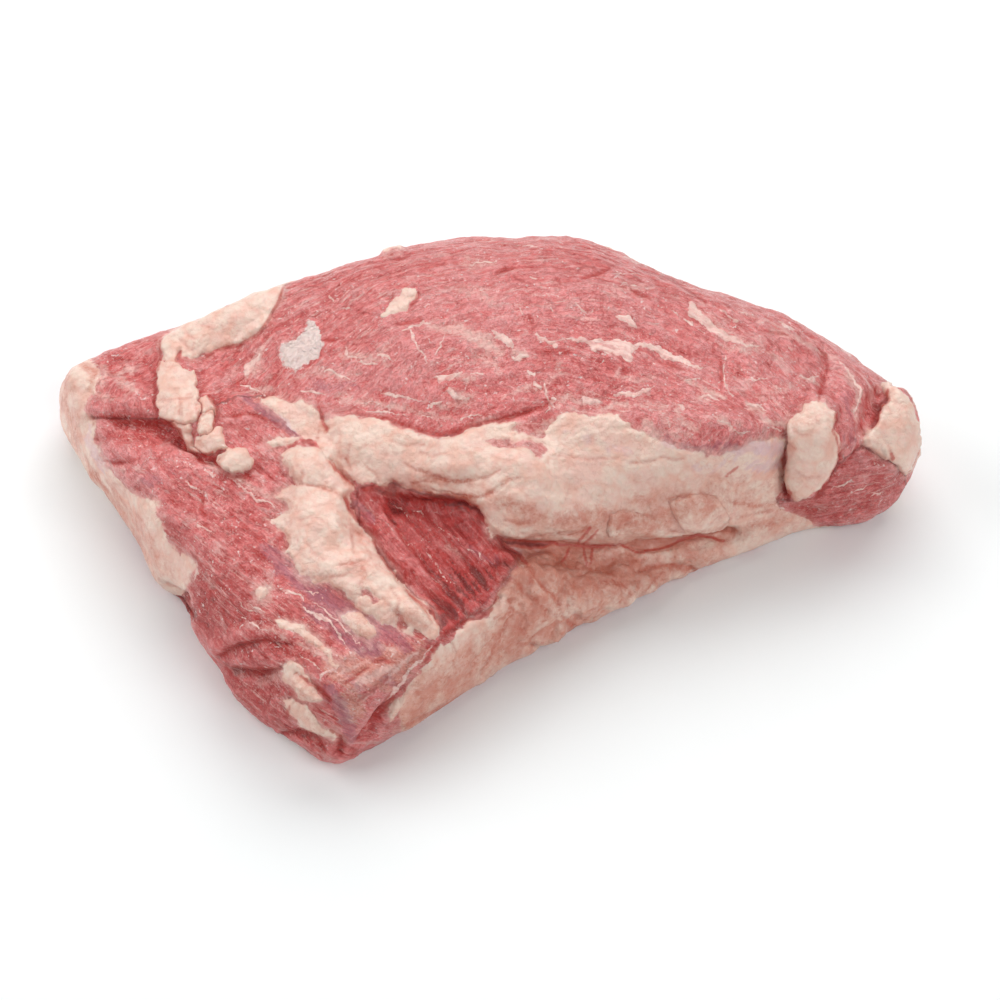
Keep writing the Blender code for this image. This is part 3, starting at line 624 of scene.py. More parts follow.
# Red veins and cracks of the fat.
VEINS = [
    (1.0, [(430, 492, 2.2), (437, 495, 3.2), (444, 498, 2.2)]),
    (1.0, [(434, 477, 0.6), (446, 480, 1.1), (460, 482, 1), (476, 479, 0.6)]),
    (0.6, [(476, 479, 0.5), (490, 476, 0.7), (500, 470, 0.5)]),
    (0.9, [(458, 497, 0.6), (480, 497, 1), (492, 493, 1), (501, 487, 0.6)]),
    (0.8, [(501, 487, 0.6), (509, 479, 1), (520, 478, 0.6)]),
    (0.6, [(500, 504, 0.8), (510, 505, 1), (520, 503, 0.6)]),
    (0.5, [(545, 420, 0.5), (552, 424, 0.7)]),
    (0.5, [(320, 430, 0.5), (316, 440, 0.8)]),
    (0.6, [(404, 463, 0.4), (416, 470, 0.7), (430, 474, 0.8)]),
    (0.5, [(350, 444, 0.4), (346, 458, 0.6), (352, 470, 0.4)]),
    (0.5, [(420, 452, 0.4), (432, 456, 0.6), (446, 453, 0.4)]),
    (0.5, [(390, 440, 0.4), (406, 446, 0.6), (424, 444, 0.4)]),
    (0.6, [(367, 467, 0.4), (376, 474, 0.7), (380, 482, 0.4)]),
    (0.6, [(412, 484, 0.4), (428, 480, 0.7), (440, 485, 0.6)]),
    (0.5, [(560, 456, 0.4), (590, 459, 0.6), (620, 458, 0.4)]),
    (0.6, [(630, 463, 0.4), (645, 462, 0.8), (655, 460, 0.4)]),
    (0.6, [(660, 457, 0.4), (672, 459, 0.8), (684, 458, 0.4)]),
    (0.7, [(520, 533, 0.5), (536, 536, 0.8), (556, 534, 0.9), (576, 533, 1), (588, 526, 1)]),
    (0.6, [(505, 520, 0.4), (518, 524, 0.7), (530, 522, 0.4)]),
    (0.7, [(616, 530, 0.5), (624, 521, 0.9), (634, 515, 0.7), (648, 516, 0.6), (654, 519, 0.5)]),
    (0.6, [(660, 540, 0.5), (646, 535, 0.8), (652, 528, 0.5)]),
    (0.7, [(668, 530, 0.5), (684, 532, 0.9), (704, 532, 0.9), (722, 528, 0.8), (731, 519, 0.5)]),
    (0.5, [(668, 498, 0.4), (680, 496, 0.7), (690, 494, 0.4)]),
    (0.6, [(724, 500, 0.8), (740, 504, 1), (758, 506, 0.8), (776, 502, 0.5)]),
    (0.6, [(736, 518, 0.6), (752, 514, 0.9), (772, 510, 0.6)]),
    (0.6, [(748, 526, 0.8), (762, 526, 1), (776, 524, 0.6)]),
    (1.0, [(516, 557, 1.2), (523, 566, 2.2), (532, 572, 3.2), (530, 584, 1.6)]),
    (0.9, [(500, 583, 0.6), (510, 580, 1), (520, 584, 1.2), (523, 596, 0.8)]),
    (0.9, [(536, 580, 1), (544, 588, 1.4), (554, 596, 1.6), (559, 606, 1.4), (556, 616, 0.8)]),
    (1.0, [(558, 612, 0.8), (567, 620, 1.4), (577, 629, 1)]),
    (0.8, [(526, 595, 0.6), (536, 600, 1.2)]),
    (0.9, [(508, 600, 0.8), (512, 611, 1.6), (504, 618, 1), (494, 618, 0.6)]),
    (0.8, [(506, 621, 0.6), (502, 632, 1), (500, 641, 0.6)]),
    (0.8, [(514, 625, 0.6), (524, 631, 1.4), (530, 640, 0.8)]),
    (0.8, [(538, 604, 0.6), (547, 611, 1.3), (543, 621, 0.8)]),
    (0.9, [(554, 563, 0.8), (566, 566, 1.1), (578, 569, 1), (600, 570, 1), (614, 574, 0.6)]),
    (0.7, [(564, 578, 0.6), (574, 585, 1), (572, 598, 0.6)]),
    (0.9, [(600, 583, 0.8), (612, 582, 1.5), (624, 586, 1.2), (631, 596, 0.8)]),
    (0.6, [(584, 584, 0.5), (596, 585, 0.8), (602, 592, 0.6)]),
    (0.9, [(634, 572, 0.6), (650, 567, 1.1), (666, 565, 1.2), (682, 567, 1.1), (702, 569, 0.8)]),
    (0.8, [(660, 573, 0.6), (654, 582, 1), (646, 590, 0.6)]),
    (0.8, [(584, 620, 0.8), (590, 613, 1.2), (601, 606, 0.8)]),
    (0.8, [(518, 642, 0.8), (530, 645, 1.4), (540, 643, 0.8)]),
    (0.7, [(496, 643, 0.5), (489, 656, 0.9), (482, 669, 0.6)]),
    (0.6, [(450, 640, 0.5), (455, 652, 0.9), (452, 664, 0.5)]),
    (0.6, [(437, 660, 0.8), (432, 670, 1)]),
    (0.6, [(447, 677, 0.8), (449, 680, 1)]),
    (0.5, [(470, 650, 0.4), (476, 660, 0.6), (470, 674, 0.4)]),
    (0.5, [(416, 690, 0.4), (424, 700, 0.7), (420, 710, 0.4)]),
    (0.7, [(402, 728, 1), (420, 718, 1.4), (440, 708, 1.4), (462, 695, 1)]),
    (0.7, [(610, 566, 0.5), (630, 562, 0.8), (650, 558, 0.5)]),
    (0.5, [(640, 580, 0.5), (636, 590, 0.9)]),
    (0.6, [(545, 552, 0.5), (556, 556, 0.9), (560, 566, 0.6)]),
    (0.8, [(300, 484, 0.5), (318, 487, 0.8), (334, 492, 0.8), (342, 498, 0.8)]),
    (0.6, [(302, 577, 0.5), (320, 578, 0.8), (342, 576, 0.8), (356, 570, 0.5)]),
    (0.7, [(340, 566, 0.5), (356, 563, 0.9), (370, 559, 0.6)]),
    (0.5, [(350, 520, 0.4), (352, 536, 0.6), (354, 552, 0.4)]),
    (0.5, [(300, 520, 0.4), (310, 516, 0.6), (322, 520, 0.4)]),
    (0.6, [(338, 523, 0.5), (346, 526, 0.9)]),
    (0.5, [(304, 540, 0.4), (312, 552, 0.6), (324, 560, 0.4)]),
    (0.6, [(360, 562, 0.5), (366, 574, 0.8), (360, 584, 0.5)]),
    (0.6, [(392, 588, 0.5), (400, 600, 0.8), (396, 612, 0.5)]),
    (0.6, [(382, 598, 0.5), (390, 606, 0.8)]),
    (0.7, [(398, 614, 1.2), (404, 620, 1.6), (402, 628, 1)]),
    (0.6, [(300, 482, 0.5), (304, 474, 0.8), (298, 466, 0.5)]),
    (0.6, [(292, 468, 0.5), (296, 478, 1), (300, 484, 0.6)]),
    (0.6, [(158, 400, 0.5), (176, 399, 0.7), (192, 397, 0.5)]),
    (0.5, [(180, 402, 0.4), (182, 416, 0.6)]),
    (0.7, [(197, 408, 0.6), (199, 420, 0.9), (194, 434, 0.9), (191, 444, 0.6)]),
    (0.8, [(162, 420, 0.6), (172, 424, 1), (184, 424, 0.8)]),
    (0.7, [(202, 416, 0.6), (207, 412, 0.9), (213, 413, 0.6)]),
    (0.5, [(196, 324, 0.4), (210, 328, 0.7), (222, 324, 0.4)]),
    (0.5, [(180, 340, 0.4), (188, 348, 0.7)]),
    (0.5, [(186, 334, 0.5), (194, 340, 0.8), (192, 350, 0.5)]),
    (0.5, [(795, 430, 0.4), (802, 436, 0.7), (812, 432, 0.4)]),
    (0.6, [(790, 444, 0.8), (796, 448, 1)]),
    (0.5, [(828, 420, 0.5), (830, 428, 0.8)]),
    (0.5, [(796, 470, 0.4), (808, 478, 0.6), (820, 476, 0.4)]),
    (0.5, [(888, 410, 0.5), (892, 414, 0.8)]),
    (0.4, [(900, 420, 0.4), (906, 430, 0.6)]),
    (0.6, [(888, 446, 0.6), (891, 454, 1)]),
    (0.5, [(70, 372, 0.4), (66, 388, 0.6), (68, 408, 0.6), (78, 432, 0.4)]),
    (0.6, [(88, 456, 0.8), (98, 474, 1.2), (108, 490, 1)]),
    (0.5, [(108, 480, 0.4), (122, 500, 0.8), (138, 526, 0.6)]),
    (0.4, [(132, 508, 0.4), (146, 524, 0.7), (156, 540, 0.4)]),
]
FLUSHES = [
    (0.82, [(520, 580, 30), (580, 580, 34), (640, 566, 24)]),
    (0.50, [(560, 630, 26), (500, 660, 26), (440, 700, 24)]),
    (0.75, [(580, 518, 14), (620, 522, 14), (660, 522, 14), (690, 505, 14)]),
    (0.45, [(715, 482, 14), (745, 490, 16), (770, 492, 12)]),
    (0.85, [(530, 560, 20), (590, 572, 26), (640, 576, 22), (710, 560, 14)]),
    (0.80, [(540, 600, 26), (510, 640, 26), (470, 668, 26), (430, 700, 26), (410, 724, 18)]),
    (0.70, [(610, 596, 24), (560, 640, 20)]),
    (0.65, [(520, 522, 10), (560, 522, 12), (600, 524, 14), (650, 532, 12)]),
    (0.55, [(500, 500, 12), (530, 512, 10)]),
    (0.55, [(640, 500, 14), (700, 505, 22), (740, 498, 14), (770, 500, 12)]),
    (0.60, [(720, 540, 12), (770, 524, 12), (810, 512, 10)]),
    (0.55, [(110, 500, 16), (140, 540, 16), (160, 570, 14)]),
    (0.55, [(66, 370, 10), (66, 400, 10), (80, 440, 10)]),
    (0.70, [(82, 364, 6), (94, 374, 6), (90, 392, 5)]),
    (0.65, [(786, 492, 5), (794, 499, 5)]),
    (0.45, [(806, 414, 10), (816, 420, 8)]),
    (0.45, [(300, 684, 14), (318, 728, 14), (300, 650, 16), (330, 660, 8)]),
    (0.50, [(360, 625, 10), (366, 640, 8)]),
    (0.45, [(410, 618, 12), (432, 628, 8)]),
    (0.9, [(366, 488, 5), (390, 488, 6), (420, 492, 6), (440, 496, 5), (470, 500, 6)]),
    (0.7, [(318, 404, 3), (340, 409, 3), (360, 410, 3)]),
    (0.7, [(318, 408, 4), (326, 430, 4)]),
    (0.5, [(330, 460, 4), (350, 482, 5)]),
    (0.5, [(420, 474, 5), (450, 482, 6), (480, 478, 4)]),
    (0.4, [(460, 496, 5), (490, 494, 6), (510, 480, 4)]),
    (0.4, [(500, 505, 8), (520, 506, 6)]),
    (0.35, [(540, 516, 8), (580, 524, 8), (600, 512, 8)]),
    (0.5, [(556, 534, 6), (590, 530, 8), (600, 542, 6)]),
    (0.45, [(620, 525, 8), (650, 530, 12)]),
    (0.45, [(690, 515, 12), (714, 514, 10)]),
    (0.5, [(620, 545, 6), (680, 545, 6), (720, 540, 4)]),
    (0.55, [(730, 500, 6), (760, 506, 8), (784, 506, 6)]),
    (0.5, [(520, 556, 10), (540, 570, 14), (530, 590, 12)]),
    (0.4, [(560, 560, 12), (600, 572, 12), (620, 590, 10)]),
    (0.45, [(556, 600, 14), (570, 625, 10)]),
    (0.45, [(510, 612, 10), (530, 634, 10)]),
    (0.6, [(634, 570, 5), (664, 570, 7), (700, 570, 4)]),
    (0.6, [
        (640, 592, 6), (604, 606, 6), (578, 632, 6), (540, 647, 6), (512, 656, 6),
        (470, 686, 5), (440, 706, 6), (404, 730, 6),
    ]),
    (0.35, [(430, 690, 14), (470, 660, 16)]),
    (0.35, [(420, 720, 10), (450, 700, 8)]),
    (0.3, [(360, 600, 8), (400, 618, 10), (430, 630, 8)]),
    (0.3, [(345, 565, 8), (372, 570, 8)]),
    (0.5, [(384, 660, 7), (388, 662, 7)]),
    (0.4, [(350, 672, 10), (400, 660, 14), (420, 650, 8)]),
    (0.7, [(92, 470, 4), (104, 488, 4), (120, 512, 3)]),
    (0.35, [(66, 384, 5), (66, 410, 5), (84, 450, 5)]),
    (0.3, [(150, 560, 8), (176, 586, 10)]),
    (0.6, [(786, 494, 6), (800, 504, 8), (830, 504, 8)]),
    (0.35, [(880, 394, 5), (890, 396, 4)]),
    (0.3, [(800, 480, 8), (812, 490, 6)]),
    (0.5, [(230, 426, 6), (250, 430, 6)]),
]

# Painted light and shade on the flesh, lighter where light falls fuller, darker on the low faces,
# under creases and in hollows: line with half-widths and how much lighter (or darker) it is.
PAINTED_LIGHT_AND_SHADE = [
    (-0.10, [(120, 384, 24), (140, 400, 22)]),
    (-0.60, [(176, 600, 7), (192, 612, 8)]),
    (0.25, [(400, 330, 40), (480, 300, 40), (500, 350, 40)]),
    (0.22, [(560, 300, 30), (600, 310, 30), (660, 320, 20)]),
    (0.10, [(300, 395, 20), (420, 380, 30)]),
    (-0.06, [(600, 370, 20), (640, 375, 20)]),
    (0.22, [(700, 370, 40), (760, 360, 50), (830, 380, 40), (850, 430, 20)]),
    (0.18, [(320, 385, 24), (420, 385, 30)]),
    (-0.20, [(230, 540, 50), (230, 580, 40)]),
    (-0.42, [(210, 600, 36), (240, 630, 40), (300, 640, 30)]),
    (-0.45, [(240, 690, 40), (330, 745, 30)]),
    (-0.40, [(128, 432, 12), (170, 436, 12)]),
    (-0.10, [(180, 490, 20), (185, 520, 24)]),
    (0.10, [(150, 470, 16), (160, 474, 16)]),
    (-0.25, [(400, 520, 30), (440, 560, 30)]),
    (-0.80, [(470, 590, 24), (440, 615, 22), (500, 560, 18)]),
    (-0.30, [(850, 505, 20), (890, 480, 16), (810, 506, 12)]),
    (-0.10, [(840, 470, 14), (870, 470, 12)]),
    (-0.20, [(215, 405, 12), (226, 392, 12)]),
]

# Folds pressed into the surface: depth in millimetres, then the line.
FOLDS = [
    (1.3, [
        (92, 417, 3), (110, 417, 5), (130, 422, 7), (165, 425, 7), (180, 432, 7), (184, 447, 7),
        (200, 456, 5), (216, 462, 4),
    ]),
    (0.6, [(102, 461, 4), (120, 463, 6), (140, 458, 4)]),
    (0.5, [(96, 424, 3), (98, 444, 4), (108, 467, 4), (128, 489, 3)]),
    (0.8, [(318, 404, 3), (321, 416, 4), (327, 431, 3)]),
    (0.7, [(342, 688, 2), (356, 677, 3), (372, 664, 3), (386, 658, 2)]),
    (0.6, [(352, 700, 2), (370, 690, 3), (386, 678, 3), (400, 664, 2)]),
    (0.5, [(326, 678, 2), (342, 666, 3), (356, 655, 2)]),
    (0.8, [(330, 460, 3), (338, 470, 4), (354, 486, 3)]),
    (2.2, [(345, 498, 4), (351, 510, 6), (359, 523, 4)]),
    (1.0, [(359, 523, 4), (375, 546, 5), (396, 576, 5), (415, 599, 5), (434, 622, 4)]),
    (2.2, [(408, 500, 4), (430, 503, 7), (462, 505, 9), (478, 512, 8), (490, 533, 6)]),
    (2.8, [
        (496, 536, 5), (510, 543, 8), (535, 546, 9), (556, 544, 6), (590, 547, 5),
        (612, 545, 3),
    ]),
    (1.0, [(620, 544, 4), (650, 551, 5), (680, 540, 5), (700, 535, 5), (724, 541, 3)]),
    (0.8, [(634, 572, 4), (666, 565, 6), (704, 569, 3)]),
    (1.6, [(787, 446, 4), (784, 460, 6), (784, 476, 5), (786, 492, 5)]),
    (1.0, [(836, 412, 3), (838, 444, 5), (838, 464, 5), (820, 492, 4)]),
    (2.4, [(889, 398, 4), (880, 409, 7), (873, 426, 4)]),
    (0.8, [(862, 446, 3), (878, 454, 5), (893, 463, 5), (904, 474, 3)]),
    (0.8, [(819, 347, 4), (827, 362, 5), (823, 386, 5), (818, 402, 3)]),
    (0.5, [(868, 378, 3), (879, 397, 4)]),
    (0.5, [(862, 444, 3), (850, 457, 4), (842, 468, 3)]),
    (1.4, [(220, 656, 5), (238, 647, 8), (262, 641, 6), (292, 644, 4)]),
    (1.4, [(240, 671, 5), (262, 675, 7), (282, 668, 4)]),
    (1.4, [(283, 733, 4), (300, 732, 5), (316, 738, 6), (324, 752, 4)]),
    (1.2, [(330, 730, 3), (341, 738, 5), (340, 752, 4)]),
    (1.8, [(358, 738, 4), (376, 717, 7), (394, 698, 4)]),
    (1.0, [(298, 674, 4), (314, 686, 5), (330, 702, 5)]),
    (2.6, [(166, 599, 4), (178, 602, 9), (192, 616, 5)]),
    (1.1, [(358, 414, 3), (400, 424, 5), (446, 434, 7), (474, 426, 5)]),
    (1.0, [(474, 426, 4), (500, 420, 5), (530, 411, 7), (552, 402, 3)]),
    (0.8, [(442, 640, 4), (466, 620, 5), (494, 606, 4), (512, 570, 4)]),
    (0.5, [(200, 486, 3), (203, 504, 4), (204, 516, 3)]),
    (0.7, [(494, 274, 4), (504, 269, 6), (514, 265, 3)]),
    (0.6, [(582, 279, 3), (596, 273, 5), (608, 270, 3)]),
    (0.5, [(630, 289, 3), (642, 295, 4), (652, 299, 3)]),
    (0.4, [(640, 268, 3), (670, 278, 4), (706, 303, 3)]),
    (0.4, [(720, 358, 3), (722, 376, 4), (721, 390, 3)]),
    (0.4, [(760, 330, 3), (776, 334, 4), (790, 335, 3)]),
    (0.4, [(320, 342, 3), (344, 338, 4)]),
    (0.5, [(395, 323, 3), (424, 319, 4), (450, 316, 3)]),
    (0.4, [(526, 314, 3), (533, 326, 5), (528, 344, 3)]),
    (0.4, [(610, 352, 3), (622, 361, 4), (634, 365, 3)]),
    (0.4, [(222, 416, 3), (250, 414, 4), (280, 425, 3)]),
]

# Forms that swell out of the surface: height in millimetres, then the line.
SWELLS = [
    (1.0, [(110, 450, 14), (150, 448, 18), (190, 466, 16)]),
    (0.9, [(120, 476, 16), (160, 486, 20)]),
    (0.8, [(110, 400, 14), (150, 408, 14)]),
    (0.8, [(520, 500, 18), (590, 505, 20), (640, 498, 18)]),
    (0.9, [(300, 468, 18), (312, 470, 18)]),
    (1.3, [(310, 512, 24), (332, 525, 24)]),
    (0.9, [(335, 566, 20), (362, 560, 16)]),
    (0.8, [(400, 606, 14), (425, 622, 10)]),
    (0.9, [(640, 556, 8), (690, 554, 9)]),
    (0.9, [(500, 460, 14), (516, 462, 16)]),
    (0.8, [(430, 468, 12), (466, 468, 12)]),
    (0.7, [(350, 440, 20), (400, 448, 22)]),
    (1.5, [(236, 660, 12), (262, 657, 14), (292, 660, 12)]),
    (0.8, [(300, 690, 9), (320, 700, 9)]),
    (0.7, [(355, 626, 12), (365, 630, 10)]),
    (0.6, [(460, 660, 20), (430, 690, 20)]),
    (0.7, [(520, 640, 12), (560, 628, 12)]),
    (0.6, [(400, 548, 9), (430, 584, 9)]),
    (0.6, [(440, 548, 9), (470, 580, 9)]),
    (0.6, [(380, 530, 7), (400, 560, 7)]),
    (0.9, [(844, 385, 12), (846, 430, 10)]),
    (0.8, [(862, 460, 10), (880, 468, 8)]),
    (0.5, [(470, 376, 14), (500, 380, 16)]),
    (0.6, [(560, 318, 14), (600, 322, 12)]),
    (0.5, [(600, 350, 8), (640, 370, 14)]),
    (0.5, [(440, 340, 12), (470, 345, 12)]),
    (1.6, [(384, 252, 8), (400, 249, 8)]),
]

# Pads of fat: thickness, roundness of the edge (both mm), outline.
RAISED_FAT = {
    "upper_leaf": (0.8, 1.5, [
        (162, 352), (160, 343), (164, 337), (173, 330), (183, 325), (200, 317), (215, 309),
        (228, 301), (240, 296), (262, 285), (275, 280), (284, 280), (285, 288), (279, 302),
        (269, 320), (257, 335), (248, 341), (239, 344), (225, 347), (213, 351), (205, 356),
        (195, 358), (185, 357), (181, 354), (177, 359), (177, 364), (169, 363), (162, 358),
    ]),
    "leaf_stem": (1.5, 0.9, [
        (160, 361), (168, 362), (177, 365), (186, 368), (192, 373), (197, 382), (200, 392),
        (199, 400), (200, 412), (197, 421), (190, 427), (178, 424), (168, 421), (161, 417),
        (156, 403), (157, 392), (158, 380), (159, 370),
    ]),
    "stem_roll_a": (1.5, 1.2, [
        (200, 399), (206, 396), (213, 402), (218, 411), (217, 417), (211, 413), (204, 416),
        (200, 411),
    ]),
    "stem_roll_b": (1.9, 1.4, [
        (203, 415), (210, 412), (216, 417), (215, 428), (209, 435), (201, 438), (196, 430),
        (198, 421),
    ]),
    "stem_roll_c": (1.6, 1.2, [
        (172, 424), (180, 422), (190, 426), (193, 437), (197, 448), (204, 455), (196, 454),
        (187, 449), (183, 438), (178, 431),
    ]),
    "stem_roll_d": (1.5, 1.3, [
        (197, 438), (208, 435), (214, 429), (222, 430), (225, 440), (226, 449), (216, 452),
        (208, 455), (200, 452), (197, 445),
    ]),
    "round_lump": (1.7, 1.2, [
        (219, 462), (218, 456), (223, 453), (226, 448), (231, 450), (236, 448), (243, 449),
        (248, 451), (250, 456), (254, 459), (252, 464), (253, 469), (247, 472), (243, 475),
        (238, 473), (233, 476), (229, 472), (224, 472), (222, 467),
    ]),
    "small_leaf": (0.4, 0.9, [
        (402, 288), (408, 286), (413, 288), (418, 287), (419, 293), (416, 300), (410, 306),
        (407, 313), (400, 315), (390, 317), (382, 317), (380, 314), (386, 308), (393, 301),
        (400, 296),
    ]),
    "right_flap": (1.8, 1.2, [
        (817, 401), (822, 404), (829, 409), (835, 413), (834, 422), (832, 428), (836, 437),
        (838, 447), (838, 457), (834, 466), (828, 476), (820, 486), (812, 493), (803, 499),
        (796, 499), (789, 494), (784, 485), (783, 474), (786, 463), (786, 452), (790, 441),
        (787, 431), (789, 422), (798, 416), (805, 406),
    ]),
    "end_knob": (1.9, 1.6, [
        (877, 384), (886, 385), (894, 388), (903, 392), (908, 401), (913, 411), (917, 426),
        (919, 442), (917, 456), (911, 466), (904, 473), (898, 467), (892, 463), (884, 460),
        (877, 453), (869, 447), (862, 445), (863, 437), (867, 430), (874, 427), (879, 418),
        (882, 409), (888, 401), (884, 393),
    ]),
    "fold_leaf": (1.6, 1.0, [
        (608, 536), (606, 524), (609, 514), (620, 510), (634, 509), (648, 515), (638, 518),
        (628, 523), (620, 530), (613, 538),
    ]),
    "roll_lump": (1.9, 1.5, [
        (668, 502), (678, 497), (690, 494), (705, 492), (717, 494), (722, 503), (731, 516),
        (724, 527), (708, 532), (694, 531), (682, 527), (674, 516),
    ]),
}

CRUMPLED = [
    (500, 556), (540, 552), (600, 556), (660, 556), (710, 560), (640, 600), (560, 650),
    (480, 690), (470, 660), (490, 610),
]
UPPER_MEAT = [
    (40, 424), (100, 418), (180, 420), (236, 398), (262, 396), (330, 440), (360, 486), (500, 536),
    (560, 560), (1000, 700), (1000, 100), (0, 100), (0, 424),
]
DARK_MUSCLE = [
    (358, 488), (385, 482), (425, 494), (455, 496), (483, 506), (496, 534), (522, 552),
    (512, 572), (480, 608), (450, 636), (436, 632), (428, 606), (396, 574), (358, 524),
]
RIGHT_END = [
    (846, 456), (862, 446), (893, 462), (905, 474), (905, 530), (790, 530), (776, 500),
    (800, 500), (830, 478),
]


# ---------------------------------------------------------------------------------------------
# The body of the meat
# ---------------------------------------------------------------------------------------------
SKIN_GRID = 0.86
# Only the underside is thinned towards this number, so the whole body keeps somewhat more
BODY_TRIANGLES = 190000
SMOOTH_ROUNDS = 9
UNDERSIDE_TURN = -0.95
UNDERSIDE_HEIGHT = 1.0
SEEN_FROM = 0.3
FINE_REACH = 12
WELL_OUTSIDE = 4

# Heights of the relief, in millimetres
FOLD_LIP = 0.25
FIBRE_GROOVE = 0.45
FAT_STANDS_OUT = 0.3
FAT_LUMPS, FAT_FINE_LUMPS = 0.5, 0.12
CRUMPLES = 1.3
FIBRE_RIDGES, DARK_STRANDS, LEAN_GRIT = 0.24, 1.0, 0.16
LEAN_SWELLS, WHOLE_SWELLS = 0.45, 0.45
VEIN_GROOVE = 0.40


def mesh_points(mesh):
    points = np.empty(len(mesh.vertices) * 3)
    mesh.vertices.foreach_get("co", points)
    return points.reshape(-1, 3) / MM


def mesh_normals(mesh):
    normals = np.empty(len(mesh.vertices) * 3)
    mesh.vertex_normals.foreach_get("vector", normals)
    return normals.reshape(-1, 3)


def put_points(mesh, points):
    mesh.vertices.foreach_set("co", (points * MM).astype(np.float32).ravel())
    mesh.update()


def deselect_all():
    for thing in bpy.context.selected_objects:
        thing.select_set(False)


def make_active(piece):
    deselect_all()
    bpy.context.view_layer.objects.active = piece
    piece.select_set(True)


def apply_modifier(piece, kind, **settings):
    make_active(piece)
    modifier = piece.modifiers.new(kind.title(), kind)
    for name, value in settings.items():
        setattr(modifier, name, value)
    bpy.ops.object.modifier_apply(modifier=modifier.name)


def placed(name, data):
    """An object for a mesh, lamp or camera, in the scene."""
    thing = bpy.data.objects.new(name, data)
    bpy.context.scene.collection.objects.link(thing)
    return thing


def copied_node(node, name):
    """A copy of a CAD solid with its corners joined."""
    mesh = node.data.copy()
    mesh.materials.clear()
    build = bmesh.new()
    build.from_mesh(mesh)
    bmesh.ops.remove_doubles(build, verts=build.verts, dist=0.00001)
    build.to_mesh(mesh)
    build.free()
    return placed(name, mesh)


def even_skin(node, name, grid, rounds):
    """A copy of a CAD solid with an even, softened skin."""
    piece = copied_node(node, name)
    apply_modifier(piece, "REMESH", mode="VOXEL", voxel_size=grid * MM)
    apply_modifier(piece, "SMOOTH", factor=0.5, iterations=rounds)
    return piece


def facing_camera(normals):
    """One where the surface shows from the camera, none where it is turned away."""
    return step(-0.02, 0.16, normals @ BACK)


def fine_body(node):
    """The CAD solid with a fine even skin, coarser only on the flat underside."""
    body = even_skin(node, "tri_tip_meat", SKIN_GRID, SMOOTH_ROUNDS)
    turned, height = mesh_normals(body.data)[:, 2], mesh_points(body.data)[:, 2]
    below = np.nonzero((turned < UNDERSIDE_TURN) & (height < UNDERSIDE_HEIGHT))[0]
    underneath = body.vertex_groups.new(name="underneath")
    underneath.add(below.tolist(), 1.0, "REPLACE")
    share = BODY_TRIANGLES / (2 * len(body.data.polygons))
    apply_modifier(body, "DECIMATE", ratio=share, vertex_group="underneath")
    body.vertex_groups.clear()
    return body


def grain_places(points, places, seen):
    """Places along and across the fibres of each muscle, in millimetres."""
    x, y, z = points.T
    across, deep = (x - 11) / 127, (y + 49) / 92
    ring = np.hypot(across, deep)
    grain = np.stack([np.arctan2(deep, across) * 110, ring * 92 - z, z * 0.3], axis=1)

    def straight(angle, rise):
        cos, sin = math.cos(math.radians(angle)), math.sin(math.radians(angle))
        return np.stack([x * cos + y * sin, -x * sin + y * cos + rise * z, z * 0.3], axis=1)

    lower = seen & (inside(places, UPPER_MEAT) < 0)
    grain[lower] = straight(-45, 1.0)[lower]
    dark = seen & (inside(places, DARK_MUSCLE) > 0)
    grain[dark] = straight(-56, 0.6)[dark]
    end = seen & (inside(places, RIGHT_END) > 0)
    grain[end] = straight(14, 1.0)[end]
    return grain


def raised_outlines(*names):
    return [RAISED_FAT[name][2] for name in names]


def fat_inside(places):
    """Sheet distance inside the fat that lies in the meat's own surface."""
    cover = clear_of(inside(places, FAT_COVER), places, COVER_GAPS)
    island = clear_of(inside(places, ISLAND), places, ISLAND_GAPS)
    raised = raised_outlines("upper_leaf", "right_flap", "end_knob")
    others = inside_any(places, [LEFT_STRIP, *SMALL_FAT, *raised])
    return np.maximum(np.maximum(cover, island), others)


def lines_inside(places, lines):
    """Sheet distance within the nearest of several lines."""
    return np.max([along_line(places, line, FINE_REACH) for line in lines], axis=0)


def soft_marks(places, marks):
    """Coverage by soft-edged marks, none to one."""
    result = np.zeros(len(places))
    for strength, line in marks:
        cover = step(-0.6, 0.9, within_width(places, line, 30))
        result = np.maximum(result, strength * cover)
    return result


def vein_cover(places):
    """How strongly the veins colour each place."""
    result = np.zeros(len(places))
    for strength, line in VEINS:
        cover = step(-2.4, 1.0, along_line(places, line, FINE_REACH))
        result = np.maximum(result, strength * cover)
    return result


def hand_relief(places):
    """The listed folds and swells, in millimetres."""
    height = np.zeros(len(places))
    for depth, line in FOLDS:
        gap = within_width(places, line)
        height -= depth * np.clip(gap, 0, 1) ** 1.3
        height += FOLD_LIP * depth * np.exp(-(((gap + 0.5) / 0.6) ** 2))
    for rise, line in SWELLS:
        height += rise * step(0, 1, within_width(places, line))
    for line in DARK_FIBRES:
        height -= FIBRE_GROOVE * np.clip(along_line(places, line) / SHEET_PER_MM + 0.8, 0, 1)
    return height


def lumps(points, size, seed):
    """Rounded lumps with creases between them, about none to one."""
    bent = points + 0.35 * size * pushes(points, size * 1.5, (seed + 1, seed + 2, seed + 3))
    return np.abs(wander(bent, size, seed)) * 1.6


def crumpled_share(places):
    """How much of the crumpled look each place of the broad fat has."""
    return step(-14, 14, inside(places, CRUMPLED))


